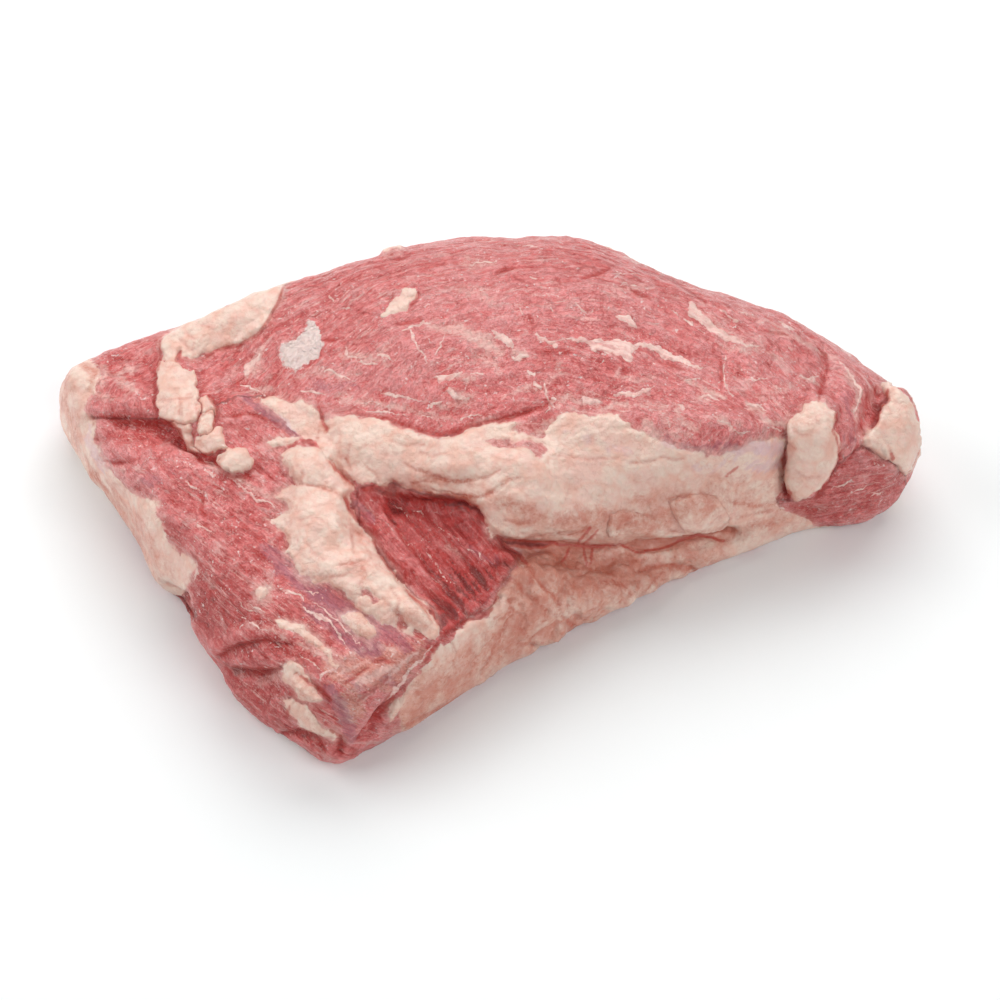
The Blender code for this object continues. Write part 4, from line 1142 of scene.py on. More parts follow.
def body_relief(points, normals, places, facing, fat, grain):
    """Millimetres by which each point moves out along its normal."""
    height = hand_relief(places) * facing
    fatty = step(-1.0, 2.0, fat)
    broad = FAT_LUMPS * (lumps(points, 12, 1) - 0.4)
    fine = FAT_FINE_LUMPS * (lumps(points, 4.5, 11) - 0.4)
    height += fatty * (broad + fine)
    height += crumpled_share(places) * facing * CRUMPLES * (lumps(points, 9, 61) - 0.45)
    height += fatty * facing * FAT_STANDS_OUT
    fibres = rough(grain * (0.14, 1, 1), 3.4, 6, 2)
    strands = np.abs(rough(grain * (0.07, 1, 1), 4.2, 9, 2))
    muscle = step(-2, 6, inside(places, DARK_MUSCLE)) * facing
    lean = FIBRE_RIDGES * fibres - DARK_STRANDS * muscle * strands
    height += (1 - fatty) * (lean + LEAN_GRIT * wander(points, 2.4, 8))
    height += (1 - fatty) * LEAN_SWELLS * rough(points, 8, 14, 2)
    height += WHOLE_SWELLS * wander(points, 17, 4)
    under = normals[:, 2] < -0.85
    height[under] = 0
    return height * step(0, 3, points[:, 2])


def set_values(mesh, name, values):
    kind = "FLOAT" if values.ndim == 1 else "FLOAT_VECTOR"
    layer = mesh.attributes.new(name, kind, "POINT")
    key = "value" if values.ndim == 1 else "vector"
    layer.data.foreach_set(key, values.astype(np.float32).ravel())


def mesh_edges(mesh):
    ends = np.empty(len(mesh.edges) * 2, int)
    mesh.edges.foreach_get("vertices", ends)
    return ends.reshape(-1, 2).T


def hollows(mesh):
    """How far each point lies below (or above) its surroundings, in tenths of a millimetre."""
    points, normals = mesh_points(mesh), mesh_normals(mesh)
    first, second = mesh_edges(mesh)
    fine = averaged(points, first, second, 5)
    broad = averaged(fine, first, second, 30)
    below_fine = ((fine - points) * normals).sum(axis=1)
    below_broad = ((broad - points) * normals).sum(axis=1)
    return np.clip(below_fine * 10 + below_broad * 3, -4, 4)


def ragged(places):
    """Sheet places pushed about a little, so that outlines come out uneven."""
    return places + 2.6 * pushes(places, 16, (11, 12), 4) + 1.3 * pushes(places, 6.5, (13, 15), 2)


def hidden_fat(points):
    """Fat on the sides that the camera never sees, in millimetres inside its edge."""
    bent = points + 9 * pushes(points, 24, (51, 52, 53))
    return 9 * (rough(bent * (0.8, 1, 1.3), 36, 21, 4) - 0.17)


def paint(points, normals, places, facing):
    """Everything that the finish reads, for each point."""
    uneven = ragged(places)
    hidden = 1 - facing

    def only_shown(depth):
        """Millimetres inside a mark, and well outside it on the hidden sides."""
        return depth / SHEET_PER_MM * facing - WELL_OUTSIDE * hidden

    # Fat that reaches over the edge fades out on the far side
    over_the_edge = inside_any(uneven, raised_outlines("upper_leaf", "end_knob")) / SHEET_PER_MM
    over_the_edge = over_the_edge - 30 * (1 - step(-0.35, 0.1, normals @ BACK))
    unseen_fat = np.maximum(hidden_fat(points), over_the_edge)
    unseen_film = step(0.2, 0.6, rough(points * (1, 1, 2.2), 26, 31, 4))
    unseen_flush = step(0.0, 0.5, rough(points, 18, 41, 3))

    values = {}
    values["fat"] = fat_inside(uneven) / SHEET_PER_MM * facing + unseen_fat * hidden
    values["tan"] = only_shown(inside_any(uneven, SKIN_TAN, FINE_REACH))
    values["film"] = soft_marks(uneven, FILMS) * facing + hidden * 0.7 * unseen_film
    values["veil"] = soft_marks(uneven, PALE_VEIL) * facing
    values["silver"] = only_shown(inside(uneven, SILVER_PATCH))
    slightly = places + 0.35 * (uneven - places)
    # Dark lines: blood and cuts, and painted shade in gaps and along the fat's edges
    values["dark"] = only_shown(lines_inside(slightly, DARK_LINES))
    values["vein"] = vein_cover(slightly) * facing
    values["flush"] = soft_marks(uneven, FLUSHES) * facing + 0.4 * hidden * unseen_flush
    # Painted light and shade along the listed lines, some lighter, some darker
    painted_light_and_shade = np.zeros(len(points))
    for amount, line in PAINTED_LIGHT_AND_SHADE:
        painted_light_and_shade += amount * step(-0.5, 0.8, within_width(places, line, 60))
    values["painted_light_and_shade"] = painted_light_and_shade * facing
    values["muscle"] = step(-2, 4, inside(uneven, DARK_MUSCLE)) * facing
    grain = grain_places(points, places, facing > SEEN_FROM)
    grain[:, 1] += hidden * 7 * wander(points, 30, 62)
    values["grain"] = grain
    return values


def make_body(node):
    """The meat with its relief, and on each point what the finish reads."""
    body = fine_body(node)
    points, normals = mesh_points(body.data), mesh_normals(body.data)
    places = to_sheet(points)
    facing = facing_camera(normals)
    values = paint(points, normals, places, facing)
    height = body_relief(points, normals, places, facing, values["fat"], values["grain"])
    put_points(body.data, points + normals * height[:, None])
    values["hollow"] = hollows(body.data)
    for name, amounts in values.items():
        set_values(body.data, name, amounts)
    body.data.shade_smooth()
    return body


# ---------------------------------------------------------------------------------------------
# Fat that lies on the meat as pieces of its own
# ---------------------------------------------------------------------------------------------
SHEET_STEP = 1.4
THREAD_STEP = 0.9
SUNK = 0.12
UNDER_DEPTH = 0.7
LEAST_FACING = 0.08
TURNED_AWAY = 0.20
TURN_FALL = 40
STEEP_FROM = 1.0
PAD_MARGIN = 8

# Pads on the flat of the meat: thickness and roundness of the edge, in millimetres
COVER_PAD = (0.45, 1.8)
ISLAND_PAD = (0.6, 1.9)
SMALL_PAD = (0.5, 1.2)
THREAD_PAD = (0.26, 0.8)

# How far inside the fat a pad's rim counts; below none, the pad is a thread in the lean
FAT_RIM = 0.05
THREAD_RIM = -0.20
FILM_ON_PADS = 0.3


class Ground:
    """The meat's surface as a ray from the camera finds it, with calm normals."""

    def __init__(self, body, calm_points, calm_normals):
        faces = [tuple(face.vertices) for face in body.data.polygons]
        self.surface = BVHTree.FromPolygons([Vector(p) for p in mesh_points(body.data)], faces)
        self.calm_normals = calm_normals
        self.tree = KDTree(len(calm_points))
        for index, point in enumerate(calm_points):
            self.tree.insert(point, index)
        self.tree.balance()
        self.start = Vector(CAMERA_PLACE)

    def find(self, place):
        """Point of the surface at a sheet place, or nothing."""
        hit = self.surface.ray_cast(self.start, sheet_ray(*place))
        if hit[0] is None or self.calm_normal(hit[0]) @ BACK < LEAST_FACING:
            return None
        return hit[0]

    def calm_normal(self, point):
        return self.calm_normals[self.tree.find(point)[1]]


def depth_in(shape, gaps, places):
    """Sheet distance inside an outline and outside its gaps, or inside a line's own width."""
    if len(shape[0]) == 3:
        return along_line(places, shape, 6)
    return clear_of(inside(places, shape, FINE_REACH), places, gaps, FINE_REACH)


def averaged(values, first, second, rounds):
    """Values evened out along the edges between the first and second corners."""
    count = len(values)
    number = np.bincount(first, minlength=count) + np.bincount(second, minlength=count)
    for _ in range(rounds):
        total = np.zeros_like(values)
        for axis in range(values.shape[1]):
            total[:, axis] = np.bincount(first, values[second, axis], count)
            total[:, axis] += np.bincount(second, values[first, axis], count)
        values = 0.5 * values + 0.5 * total / np.maximum(number, 1)[:, None]
    return values


def evened(grid, rounds):
    """A grid of values with its sharp changes softened."""
    for _ in range(rounds):
        wide = np.pad(grid, 1, mode="edge")
        grid = (wide[:-2, 1:-1] + wide[2:, 1:-1] + wide[1:-1, :-2] + wide[1:-1, 2:] + 2 * grid) / 6
    return grid


def pad(ground, shape, thickness, edge, spacing, unevenness, bumps, gaps=()):
    """A closed pad that follows the meat, its rim sunk in it.

    It gives the points, the faces, the millimetres inside the rim and which points are on it.
    """
    outline = np.array(shape, float)[:, :2]
    low, high = outline.min(axis=0) - PAD_MARGIN, outline.max(axis=0) + PAD_MARGIN
    columns = np.arange(low[0], high[0] + spacing, spacing)
    rows = np.arange(low[1], high[1] + spacing, spacing)
    mesh_x, mesh_y = np.meshgrid(columns, rows, indexing="ij")
    places = np.stack([mesh_x.ravel(), mesh_y.ravel()], axis=1)
    moved = places + unevenness * (ragged(places) - places)
    depth = depth_in(shape, gaps, moved)
    found = {}
    turned = np.full(len(places), 1.0)
    for index in np.nonzero(depth > 0)[0]:
        point = ground.find(places[index])
        if point is None:
            depth[index], turned[index] = -0.5, -0.5
        else:
            found[index] = point
            turned[index] = ground.calm_normal(point) @ BACK
    turned = evened(turned.reshape(mesh_x.shape), 3)
    depth = depth.reshape(mesh_x.shape)
    depth = np.where(depth > 0, np.minimum(depth, (turned - TURNED_AWAY) * TURN_FALL), depth)
    count = len(rows)
    corners, spots, depths = {}, [], []

    def corner(key, place, fallback, amount):
        if key not in corners:
            corners[key] = len(spots)
            point = ground.find(place) if amount == 0 else found[fallback]
            spots.append(point or found[fallback])
            depths.append(amount)
        return corners[key]

    faces = []
    full = depth > 0
    cells = full[:-1, :-1] | full[1:, :-1] | full[1:, 1:] | full[:-1, 1:]
    around = ((0, 0), (1, 0), (1, 1), (0, 1))
    for i, j in zip(*np.nonzero(cells)):
        here = [(i + a, j + b) for a, b in around]
        face = []
        for k in range(4):
            first, second = here[k], here[(k + 1) % 4]
            near, far = depth[first], depth[second]
            start = np.array([columns[first[0]], rows[first[1]]])
            if near > 0:
                face.append(corner(first, start, first[0] * count + first[1], near))
            if (near > 0) != (far > 0):
                end = np.array([columns[second[0]], rows[second[1]]])
                within = first if near > 0 else second
                share = near / (near - far)
                key = (min(first, second), max(first, second))
                place = start + share * (end - start)
                face.append(corner(key, place, within[0] * count + within[1], 0.0))
        if len(face) > 2:
            faces.append(face)
    base = np.array(spots)
    depth_mm = np.array(depths) / SHEET_PER_MM
    edges = np.array([(f[k], f[(k + 1) % len(f)]) for f in faces for k in range(len(f))])
    first, second = edges.T
    lift = averaged(np.array([ground.calm_normal(point) for point in spots]), first, second, 6)
    lift /= np.linalg.norm(lift, axis=1)[:, None]
    share = np.clip(depth_mm / edge, 0, 1)
    rounded = np.sqrt(1 - (1 - share) ** 2) if thickness > STEEP_FROM else share * (2 - share)
    height = (thickness + bumps(base, to_sheet(base))) * rounded - SUNK
    top = base + lift * height[:, None]
    bottom = base - lift * (SUNK + UNDER_DEPTH * rounded)[:, None]
    rim = depth_mm == 0
    renumber = np.where(rim, np.arange(len(base)), len(base) + np.cumsum(~rim) - 1)
    points = np.vstack([top, bottom[~rim]])
    all_faces = [face[::-1] for face in faces]
    lower_faces = [face for face in faces if not all(rim[i] for i in face)]
    all_faces += [[int(renumber[i]) for i in face] for face in lower_faces]
    deep = np.concatenate([depth_mm, np.zeros((~rim).sum())])
    on_rim = np.concatenate([rim, np.zeros((~rim).sum(), bool)])
    return points, all_faces, deep, on_rim


def no_bumps(points, places):
    return np.zeros(len(points))


def vein_grooves(places):
    """Grooves of the veins, in millimetres."""
    height = np.zeros(len(places))
    for depth, line in VEINS:
        gap = along_line(places, line, FINE_REACH)
        height -= VEIN_GROOVE * depth * np.clip(1 + gap / 3.2, 0, 1) ** 1.5
    return height


def fat_bumps(points, places):
    """Lumps with creases between them, in millimetres."""
    height = 0.30 * (lumps(points, 9, 71) - 0.4) + 0.10 * (lumps(points, 3.6, 81) - 0.4)
    return height + 0.05 * wander(points, 1.6, 91) + vein_grooves(places)


def cover_bumps(points, places):
    """Lumps of the broad cover, more crumpled along its low front."""
    crumples = 0.9 * (lumps(points, 6.5, 101) - 0.5) + 0.3 * (lumps(points, 3.0, 111) - 0.4)
    return fat_bumps(points, places) + crumpled_share(places) * crumples


def fat_piece(name, pads, rim_share):
    """One object from one or more pads."""
    points, faces, depths, rims, count = [], [], [], [], 0
    for pad_points, pad_faces, pad_depths, pad_rims in pads:
        points.append(pad_points)
        faces += [[index + count for index in face] for face in pad_faces]
        depths.append(pad_depths)
        rims.append(pad_rims)
        count += len(pad_points)
    points, depths, rims = np.vstack(points), np.concatenate(depths), np.concatenate(rims)
    mesh = bpy.data.meshes.new(name)
    mesh.from_pydata((points * MM).tolist(), [], faces)
    mesh.update()
    piece = placed(name, mesh)
    places = to_sheet(points)
    values = paint(points, mesh_normals(mesh), places, np.ones(len(points)))
    values["fat"] = depths * 1.5 + rim_share
    values["film"] *= 1.0 if name == "fat_cover" else FILM_ON_PADS
    for skin in ("tan", "silver"):
        values[skin] = np.full(len(points), -float(WELL_OUTSIDE))
    values["hollow"] = hollows(mesh) * step(0.1, 1.0, depths)
    values["thread"] = np.full(len(points), 1.0 if rim_share < 0 else 0.0)
    for key, amounts in values.items():
        set_values(mesh, key, amounts)
    mesh.shade_smooth()
    first, second = mesh_edges(mesh)
    rim = (rims[first]) & (rims[second])
    mesh.attributes.new("sharp_edge", "BOOLEAN", "EDGE").data.foreach_set("value", rim)
    return piece


# ---------------------------------------------------------------------------------------------
# Finish of the meat and its fat
# ---------------------------------------------------------------------------------------------
LEAN_LIGHT = (0.88, 0.305, 0.298)
LEAN_MID = (0.79, 0.182, 0.174)
LEAN_DEEP = (0.57, 0.056, 0.050)
# Blood red of the lean, in splits and along the dark lines, where it is also painted shade
LEAN_BLOOD_AND_SHADE = (0.52, 0.034, 0.024)
# The next two colours are painted highlights: sheen and glints on the wet lean
GLEAM = (0.90, 0.52, 0.48)
PAINTED_GLINT = (0.97, 0.76, 0.72)
# Deepest painted shade of the lean, in hollows and dark recesses
DEEPEST_PAINTED_SHADE = (0.26, 0.020, 0.016)
# Darkest red of the dark lines: blood, and painted shade in the deepest gaps
BLOOD_AND_SHADE_DARK = (0.15, 0.012, 0.012)
FLUSH_LEAN = (0.50, 0.080, 0.055)
PALE_STREAK = (0.95, 0.60, 0.53)
THREAD_PALE = (0.92, 0.63, 0.56)
FILM_LILAC = (0.50, 0.155, 0.195)
FILM_PALE = (0.76, 0.51, 0.53)
SILVER = (0.98, 0.83, 0.77)
TAN_SKIN = (0.80, 0.37, 0.28)
FAT_CREAM = (0.88, 0.66, 0.555)
FAT_PINK = (0.87, 0.56, 0.475)
# Rose of the fat: random dapple, and painted warm shade between lobes
FAT_ROSE = (0.84, 0.43, 0.33)
# Red flush of the fat, also painted warm shade in its hollows
FAT_FLUSH_AND_SHADE = (0.62, 0.21, 0.145)
FAT_VEIN = (0.52, 0.10, 0.055)


class Finish:
    """Small helper that lays out one material's nodes."""

    def __init__(self, name):
        self.material = bpy.data.materials.new(name)
        self.material.use_nodes = True
        self.tree = self.material.node_tree
        self.surface = self.tree.nodes["Principled BSDF"]

    def put(self, socket, value):
        if isinstance(value, bpy.types.NodeSocket):
            self.tree.links.new(value, socket)
        elif isinstance(value, tuple) and len(value) == 3 and socket.type == "RGBA":
            socket.default_value = (*value, 1)
        else:
            socket.default_value = value

    def attribute(self, name):
        node = self.tree.nodes.new("ShaderNodeAttribute")
        node.attribute_name = name
        return node

    def value(self, name):
        return self.attribute(name).outputs["Fac"]

    def maths(self, operation, first, second=0.0, third=0.0, clamp=False):
        node = self.tree.nodes.new("ShaderNodeMath")
        node.operation = operation
        node.use_clamp = clamp
        for socket, value in zip(node.inputs, (first, second, third)):
            self.put(socket, value)
        return node.outputs[0]

    def stretch(self, vector, scale):
        node = self.tree.nodes.new("ShaderNodeVectorMath")
        node.operation = "MULTIPLY"
        self.put(node.inputs[0], vector)
        node.inputs[1].default_value = scale
        return node.outputs[0]

    def noise(self, vector, scale, detail=2.0, roughness=0.5, distortion=0.0):
        node = self.tree.nodes.new("ShaderNodeTexNoise")
        self.put(node.inputs["Vector"], vector)
        node.inputs["Scale"].default_value = scale
        node.inputs["Detail"].default_value = detail
        node.inputs["Roughness"].default_value = roughness
        node.inputs["Distortion"].default_value = distortion
        return node.outputs["Fac"]

    def cells(self, vector, scale):
        node = self.tree.nodes.new("ShaderNodeTexVoronoi")
        node.feature = "F1"
        self.put(node.inputs["Vector"], vector)
        node.inputs["Scale"].default_value = scale
        return node.outputs["Distance"]

    def between(self, value, low, high, to_low=0.0, to_high=1.0):
        node = self.tree.nodes.new("ShaderNodeMapRange")
        node.interpolation_type = "SMOOTHSTEP"
        self.put(node.inputs["Value"], value)
        limits = {"From Min": low, "From Max": high, "To Min": to_low, "To Max": to_high}
        for name, amount in limits.items():
            self.put(node.inputs[name], amount)
        return node.outputs["Result"]

    def mix(self, share, first, second, blend="MIX"):
        node = self.tree.nodes.new("ShaderNodeMix")
        node.data_type = "RGBA"
        node.blend_type = blend
        self.put(node.inputs["Factor"], share)
        colours = {"A": first, "B": second}
        for socket in node.inputs:
            if socket.type == "RGBA":
                self.put(socket, colours[socket.name])
        return [socket for socket in node.outputs if socket.type == "RGBA"][0]

    def bump(self, height, strength, distance):
        node = self.tree.nodes.new("ShaderNodeBump")
        node.inputs["Strength"].default_value = strength
        node.inputs["Distance"].default_value = distance
        self.put(node.inputs["Height"], height)
        self.put(self.surface.inputs["Normal"], node.outputs["Normal"])


def meat_and_fat(name):
    """Moist raw beef: grained lean, pale threads, lilac films, veined fat, with painted light and
    shade, painted warm shade in the fat, painted glints and painted sheen.
    """
    f = Finish(name)

    def times(first, second):
        return f.maths("MULTIPLY", first, second)

    def plus(*parts):
        total = parts[0]
        for part in parts[1:]:
            total = f.maths("ADD", total, part)
        return total

    def centred(value, amount):
        return times(f.maths("SUBTRACT", value, 0.5), amount)

    def rest(value):
        return f.maths("SUBTRACT", 1.0, value)

    def crease(value, width):
        """A narrow line where a noise crosses its middle."""
        return f.between(f.maths("ABSOLUTE", f.maths("SUBTRACT", value, 0.5)), width, 0.0)

    def grained(along, across, detail, roughness, distortion=0.0):
        """Noise drawn out along the grain of the meat."""
        drawn = f.stretch(grain, (along, across, across))
        return f.noise(drawn, 1.0, detail, roughness, distortion)

    here = f.stretch(f.tree.nodes.new("ShaderNodeTexCoord").outputs["Object"], (1000, 1000, 1000))
    grain = f.attribute("grain").outputs["Vector"]
    fibre = grained(0.10, 0.8, 4.0, 0.6)
    strand = grained(0.45, 2.6, 3.0, 0.65)
    blotch = f.noise(here, 0.07, 3.0, 0.6)
    speck = f.noise(here, 1.3, 3.0, 0.75)
    grit = f.noise(here, 0.5, 4.0, 0.75, 0.5)
    hollow = f.value("hollow")
    muscle = f.value("muscle")
    calm_muscle = rest(times(muscle, 0.6))

    # Lean: its own colour varies at random, with painted light and shade along the listed lines and
    # painted shade in hollows, deepest in the darkest recesses
    shade = plus(
        0.46, times(f.value("painted_light_and_shade"), 0.9), centred(blotch, 0.8), centred(fibre, 1.0),
        centred(grit, 1.0), centred(strand, 0.5), times(hollow, -0.10),
    )
    lean = f.mix(f.between(shade, 0.36, 0.86), LEAN_MID, LEAN_LIGHT)
    lean = f.mix(f.between(shade, 0.46, 0.02), lean, LEAN_DEEP)
    stripes = grained(0.05, 0.75, 3.0, 0.6)
    lean = f.mix(times(muscle, f.between(stripes, 0.62, 0.36, 0.25, 0.95)), lean, LEAN_DEEP)
    lean = f.mix(f.between(shade, 0.0, -0.45), lean, DEEPEST_PAINTED_SHADE)

    tan = f.between(plus(f.value("tan"), centred(grit, 3.5), centred(stripes, 11.0)), -1.5, 1.8)
    lean = f.mix(times(tan, 0.75), lean, TAN_SKIN)

    # Pale threads that come and go along the grain, and small specks of painted highlight in the
    # gleam colour
    thread = grained(0.11, 0.62, 5.0, 0.65, 0.6)
    cluster = f.noise(here, 0.05, 1.0, 0.5)
    threads = times(f.between(thread, 0.56, 0.66), f.between(cluster, 0.40, 0.58))
    threads = times(threads, calm_muscle)
    lean = f.mix(times(threads, 0.6), lean, PALE_STREAK)
    wool = grained(0.6, 1.1, 2.0, 0.6, 1.2)
    patchy = f.between(f.noise(here, 0.13, 3.0, 0.65), 0.30, 0.60, 0.15, 1.0)
    patchy = times(patchy, rest(times(muscle, 0.65)))
    lean = f.mix(times(times(f.between(wool, 0.50, 0.66), patchy), 0.42), lean, GLEAM)
    lean = f.mix(times(f.between(wool, 0.46, 0.30), 0.36), lean, LEAN_DEEP)

    # Wrinkles, milky clouds of painted sheen, splits between the fibres and specks of painted glint
    wrinkle = crease(f.noise(here, 0.30, 4.0, 0.65, 1.2), 0.030)
    lean = f.mix(times(wrinkle, 0.34), lean, LEAN_DEEP)
    milky_sheen = grained(0.10, 0.26, 5.0, 0.64, 0.8)
    lean = f.mix(times(times(f.between(milky_sheen, 0.52, 0.70), calm_muscle), 0.55), lean, GLEAM)
    # Darker lean where the same clouds are low
    lean = f.mix(times(f.between(milky_sheen, 0.46, 0.30), 0.45), lean, LEAN_DEEP)
    split = crease(grained(0.16, 0.6, 3.0, 0.6, 0.8), 0.022)
    lean = f.mix(times(times(split, f.between(blotch, 0.44, 0.60)), 0.5), lean, LEAN_BLOOD_AND_SHADE)
    glint_grains = f.between(f.noise(here, 0.70, 1.0, 0.5), 0.66, 0.76)
    lean = f.mix(times(times(glint_grains, patchy), 0.8), lean, PAINTED_GLINT)
    fine_glints = f.between(f.noise(here, 1.5, 2.0, 0.6), 0.56, 0.70)
    fine_glints = times(fine_glints, f.between(f.noise(here, 0.09, 2.0, 0.6), 0.40, 0.60))
    lean = f.mix(times(times(fine_glints, calm_muscle), 0.36), lean, PAINTED_GLINT)
    # Pale veils: pale fat under the membrane, and painted sheen
    veil = plus(f.value("veil"), times(centred(grit, 1.2), f.between(f.value("veil"), 0.0, 0.2)))
    lean = f.mix(f.between(veil, 0.05, 0.95), lean, PALE_STREAK)

    # Films
    torn = centred(grained(0.06, 0.35, 4.0, 0.6), 1.8)
    covered = f.between(plus(f.value("film"), torn), 0.28, 0.62)
    film = times(covered, plus(0.30, times(f.value("film"), 0.60)))
    film = times(film, f.between(plus(fibre, centred(grit, 0.6)), 0.32, 0.66, 1.12, 0.62))
    lean = f.mix(film, lean, FILM_LILAC)
    silver = f.between(plus(f.value("silver"), centred(grit, 2.6)), -0.3, 0.5)
    lean = f.mix(times(silver, 0.85), lean, SILVER)

    # Fat: its own cream, pink and red, with painted warm shade, pinker and redder in its hollows
    # and rose in the creases between lobes
    cream = f.noise(here, 0.12, 4.0, 0.65)
    fat = f.mix(f.between(plus(cream, times(hollow, 0.03)), 0.36, 0.66), FAT_CREAM, FAT_PINK)
    crack = crease(f.noise(here, 0.15, 5.0, 0.6, 1.0), 0.02)
    net = times(crack, f.between(f.noise(here, 0.07, 2.0, 0.5), 0.46, 0.62))
    fat = f.mix(times(net, 0.30), fat, FAT_FLUSH_AND_SHADE)
    lobes = f.cells(here, 0.21)
    # Rose in the creases between lobes: painted warm shade
    fat = f.mix(f.between(lobes, 0.42, 0.85, 0.0, 0.55), fat, FAT_ROSE)
    dapple = f.noise(here, 0.32, 4.0, 0.7, 0.4)
    fat = f.mix(times(f.between(dapple, 0.50, 0.72), 0.40), fat, FAT_ROSE)
    # Redder in hollows: painted warm shade
    fat = f.mix(times(f.between(hollow, 0.5, 3.6), 0.65), fat, FAT_FLUSH_AND_SHADE)
    uneven = plus(centred(grit, 1.3), centred(cream, 1.3))
    flush = plus(f.value("flush"), times(uneven, f.between(f.value("flush"), 0.0, 0.3)))
    fat = f.mix(times(f.between(flush, 0.0, 1.1), 0.88), fat, FAT_FLUSH_AND_SHADE)
    fat = f.mix(film, fat, FILM_PALE)
    fat = f.mix(f.value("thread"), fat, THREAD_PALE)

    # Where fat and lean meet
    edge = plus(f.value("fat"), centred(grit, 2.2), centred(fibre, 1.6))
    fatty = f.between(edge, -0.35, 0.5)
    wisps = grained(0.12, 0.8, 3.0, 0.65)
    thin = times(f.value("thread"), f.between(wisps, 0.60, 0.38, 0.05, 0.62))
    fatty = times(fatty, rest(thin))
    halo = times(f.between(edge, -2.6, 0.0), f.between(blotch, 0.35, 0.62, 0.1, 0.5))
    lean = f.mix(halo, lean, PALE_STREAK)
    lean = f.mix(times(f.value("flush"), 0.4), lean, FLUSH_LEAN)
    fleck = f.between(f.noise(here, 0.85, 3.0, 0.65), 0.60, 0.74)
    bloody = plus(
        0.10, times(f.value("flush"), 0.7), times(f.between(edge, 2.6, 0.4), 0.5),
        times(f.between(hollow, 0.3, 3.0), 0.5),
    )
    fat = f.mix(times(fleck, f.maths("MULTIPLY", bloody, 0.8, clamp=True)), fat, FAT_VEIN)
    colour = f.mix(fatty, lean, fat)

    # Veins, blood and dark cuts, with painted shade in gaps, under the fat roll and along the fat's
    # edges
    vein = times(f.value("vein"), f.between(grit, 0.25, 0.60))
    colour = f.mix(times(vein, 0.75), colour, FAT_VEIN)
    dark = plus(f.value("dark"), centred(grit, 0.9))
    colour = f.mix(times(f.between(dark, -0.5, 0.2), 0.65), colour, LEAN_BLOOD_AND_SHADE)
    colour = f.mix(times(f.between(dark, 0.3, 1.1), 0.7), colour, BLOOD_AND_SHADE_DARK)

    f.put(f.surface.inputs["Base Color"], colour)
    f.put(f.surface.inputs["Roughness"], plus(0.40, centred(speck, 0.4)))
    f.surface.inputs["Subsurface Weight"].default_value = 0.12
    f.surface.inputs["Subsurface Radius"].default_value = (1.0, 0.35, 0.25)
    f.surface.inputs["Subsurface Scale"].default_value = 0.0015
    f.surface.inputs["Specular IOR Level"].default_value = 0.35
    f.surface.inputs["Coat Weight"].default_value = 0.22
    f.surface.inputs["Coat Roughness"].default_value = 0.12

    lean_height = plus(
        centred(strand, 0.9), centred(speck, 0.7), centred(fibre, 1.1), centred(grit, 1.1),
        centred(wool, 0.9), centred(milky_sheen, 1.2), times(wrinkle, -0.35),
    )
    fat_height = plus(
        centred(f.cells(here, 0.5), -1.1), centred(lobes, -1.1), centred(grit, 1.3),
        centred(speck, 0.7), centred(dapple, 0.5),
    )
    height = plus(times(lean_height, rest(fatty)), times(fat_height, times(fatty, 0.7)))
    f.bump(height, 1.0, 0.0005)
    return f.material


# ---------------------------------------------------------------------------------------------
# Making everything
# ---------------------------------------------------------------------------------------------
CALM_GRID = 1.5
CALM_ROUNDS = 10

roast_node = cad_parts["tri_tip_roast"]
body = make_body(roast_node)
flesh = meat_and_fat("raw_beef")
body.data.materials.append(flesh)
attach(body, "root")
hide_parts("tri_tip_roast")

calm = even_skin(roast_node, "calm_form", CALM_GRID, CALM_ROUNDS)
ground = Ground(body, mesh_points(calm.data), mesh_normals(calm.data))
bpy.data.objects.remove(calm, do_unlink=True)


def add_fat(name, pads, rim_share=FAT_RIM):
    """One piece of fat from its pads, in its place on the meat."""
    piece = fat_piece(name, pads, rim_share)
    piece.data.materials.append(flesh)
    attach(piece, "root")


cover = pad(ground, FAT_COVER, *COVER_PAD, SHEET_STEP, 1.0, cover_bumps, COVER_GAPS)
add_fat("fat_cover", [cover])
island = pad(ground, ISLAND, *ISLAND_PAD, SHEET_STEP, 1.0, fat_bumps, ISLAND_GAPS)
add_fat("fat_island", [island])
for name, (thickness, edge, outline) in RAISED_FAT.items():
    add_fat(name, [pad(ground, outline, thickness, edge, SHEET_STEP, 0.9, fat_bumps)])
small = [
    pad(ground, outline, *SMALL_PAD, SHEET_STEP, 0.8, fat_bumps)
    for outline in SMALL_FAT[:-1]
]
add_fat("small_fat", small)
threads = [
    pad(ground, shape, *THREAD_PAD, THREAD_STEP, 0.9, no_bumps)
    for shape in PALE_LINES + PALE_SHAPES
]
add_fat("pale_threads", threads, THREAD_RIM)

# ---------------------------------------------------------------------------------------------
# Floor, light and camera
# ---------------------------------------------------------------------------------------------
ROOM_LIGHT = 0.13
FLOOR_RADIUS = 0.7
FLOOR_BELOW = 0.0004
PAPER_DULL = (0.935, 0.955, 0.955)
PAPER_BRIGHT = (0.95, 0.97, 0.97)
ROAST_MIDDLE = Vector((0, 0, 0.02))

# Soft boxes: place, width and height in metres, and watts
SOFT_BOXES = {
    "back_box": ((0.17, 0.80, 0.80), 1.4, 0.8, 11.5),
    "left_box": ((-0.95, 0.10, 0.65), 1.1, 0.8, 8.2),
    "front_box": ((0.60, -0.65, 0.75), 1.1, 0.8, 6.5),
}

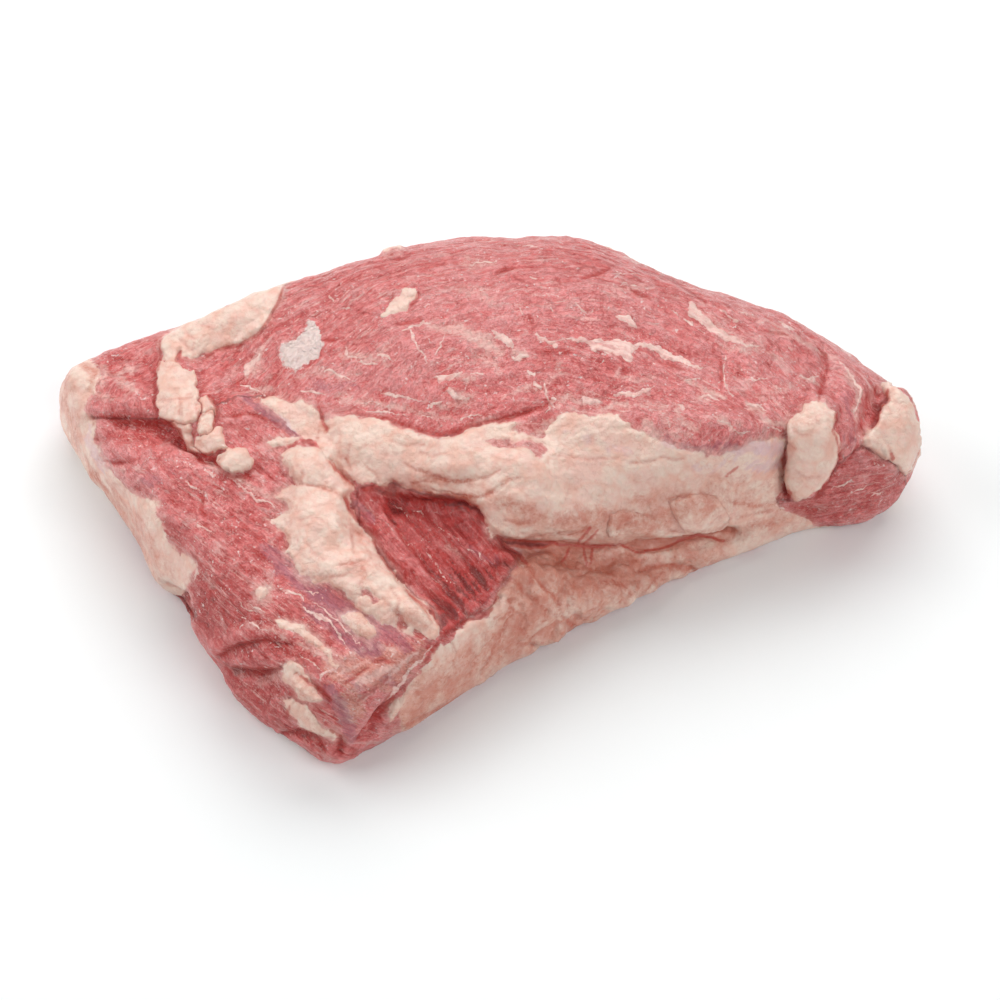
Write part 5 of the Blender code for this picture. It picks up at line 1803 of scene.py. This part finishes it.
deselect_all()
bpy.ops.mesh.primitive_circle_add(
    vertices=128, radius=FLOOR_RADIUS, fill_type="NGON", location=(0, 0, -FLOOR_BELOW)
)
floor = bpy.context.active_object
floor.name = "pale_floor"
paper = Finish("pale_paper")
fibres = paper.noise(paper.tree.nodes.new("ShaderNodeTexCoord").outputs["Object"], 40.0, 3.0)
paper.put(paper.surface.inputs["Base Color"], paper.mix(fibres, PAPER_DULL, PAPER_BRIGHT))
paper.surface.inputs["Roughness"].default_value = 0.9
floor.data.materials.append(paper.material)

scene = bpy.context.scene
scene.view_settings.view_transform = "Standard"
sky = bpy.data.worlds.new("studio")
scene.world = sky
sky.use_nodes = True
room = sky.node_tree.nodes["Background"]
room.inputs["Color"].default_value = (0.98, 1.0, 1.0, 1)
room.inputs["Strength"].default_value = ROOM_LIGHT
backdrop = sky.node_tree.nodes.new("ShaderNodeBackground")
backdrop.inputs["Color"].default_value = (1, 1, 1, 1)
ray = sky.node_tree.nodes.new("ShaderNodeLightPath")
choice = sky.node_tree.nodes.new("ShaderNodeMixShader")
for start, end in (
    (ray.outputs["Is Camera Ray"], choice.inputs["Fac"]),
    (room.outputs[0], choice.inputs[1]),
    (backdrop.outputs[0], choice.inputs[2]),
    (choice.outputs[0], sky.node_tree.nodes["World Output"].inputs["Surface"]),
):
    sky.node_tree.links.new(start, end)


def set_up(name, data, place, direction):
    """A lamp or camera at its place, looking along a direction."""
    holder = placed(name, data)
    holder.location = place
    holder.rotation_mode = "QUATERNION"
    holder.rotation_quaternion = direction.to_track_quat("-Z", "Y")
    return holder


for name, (place, width, height, watts) in SOFT_BOXES.items():
    lamp = bpy.data.lights.new(name, "AREA")
    lamp.shape = "RECTANGLE"
    lamp.size, lamp.size_y = width, height
    lamp.energy = watts
    set_up(name, lamp, Vector(place), ROAST_MIDDLE - Vector(place))

lens = bpy.data.cameras.new("front_above")
lens.lens = CAMERA_LENS
lens.sensor_width = CAMERA_SENSOR
scene.camera = set_up("front_above", lens, Vector(CAMERA_PLACE) * MM, Vector(-BACK))
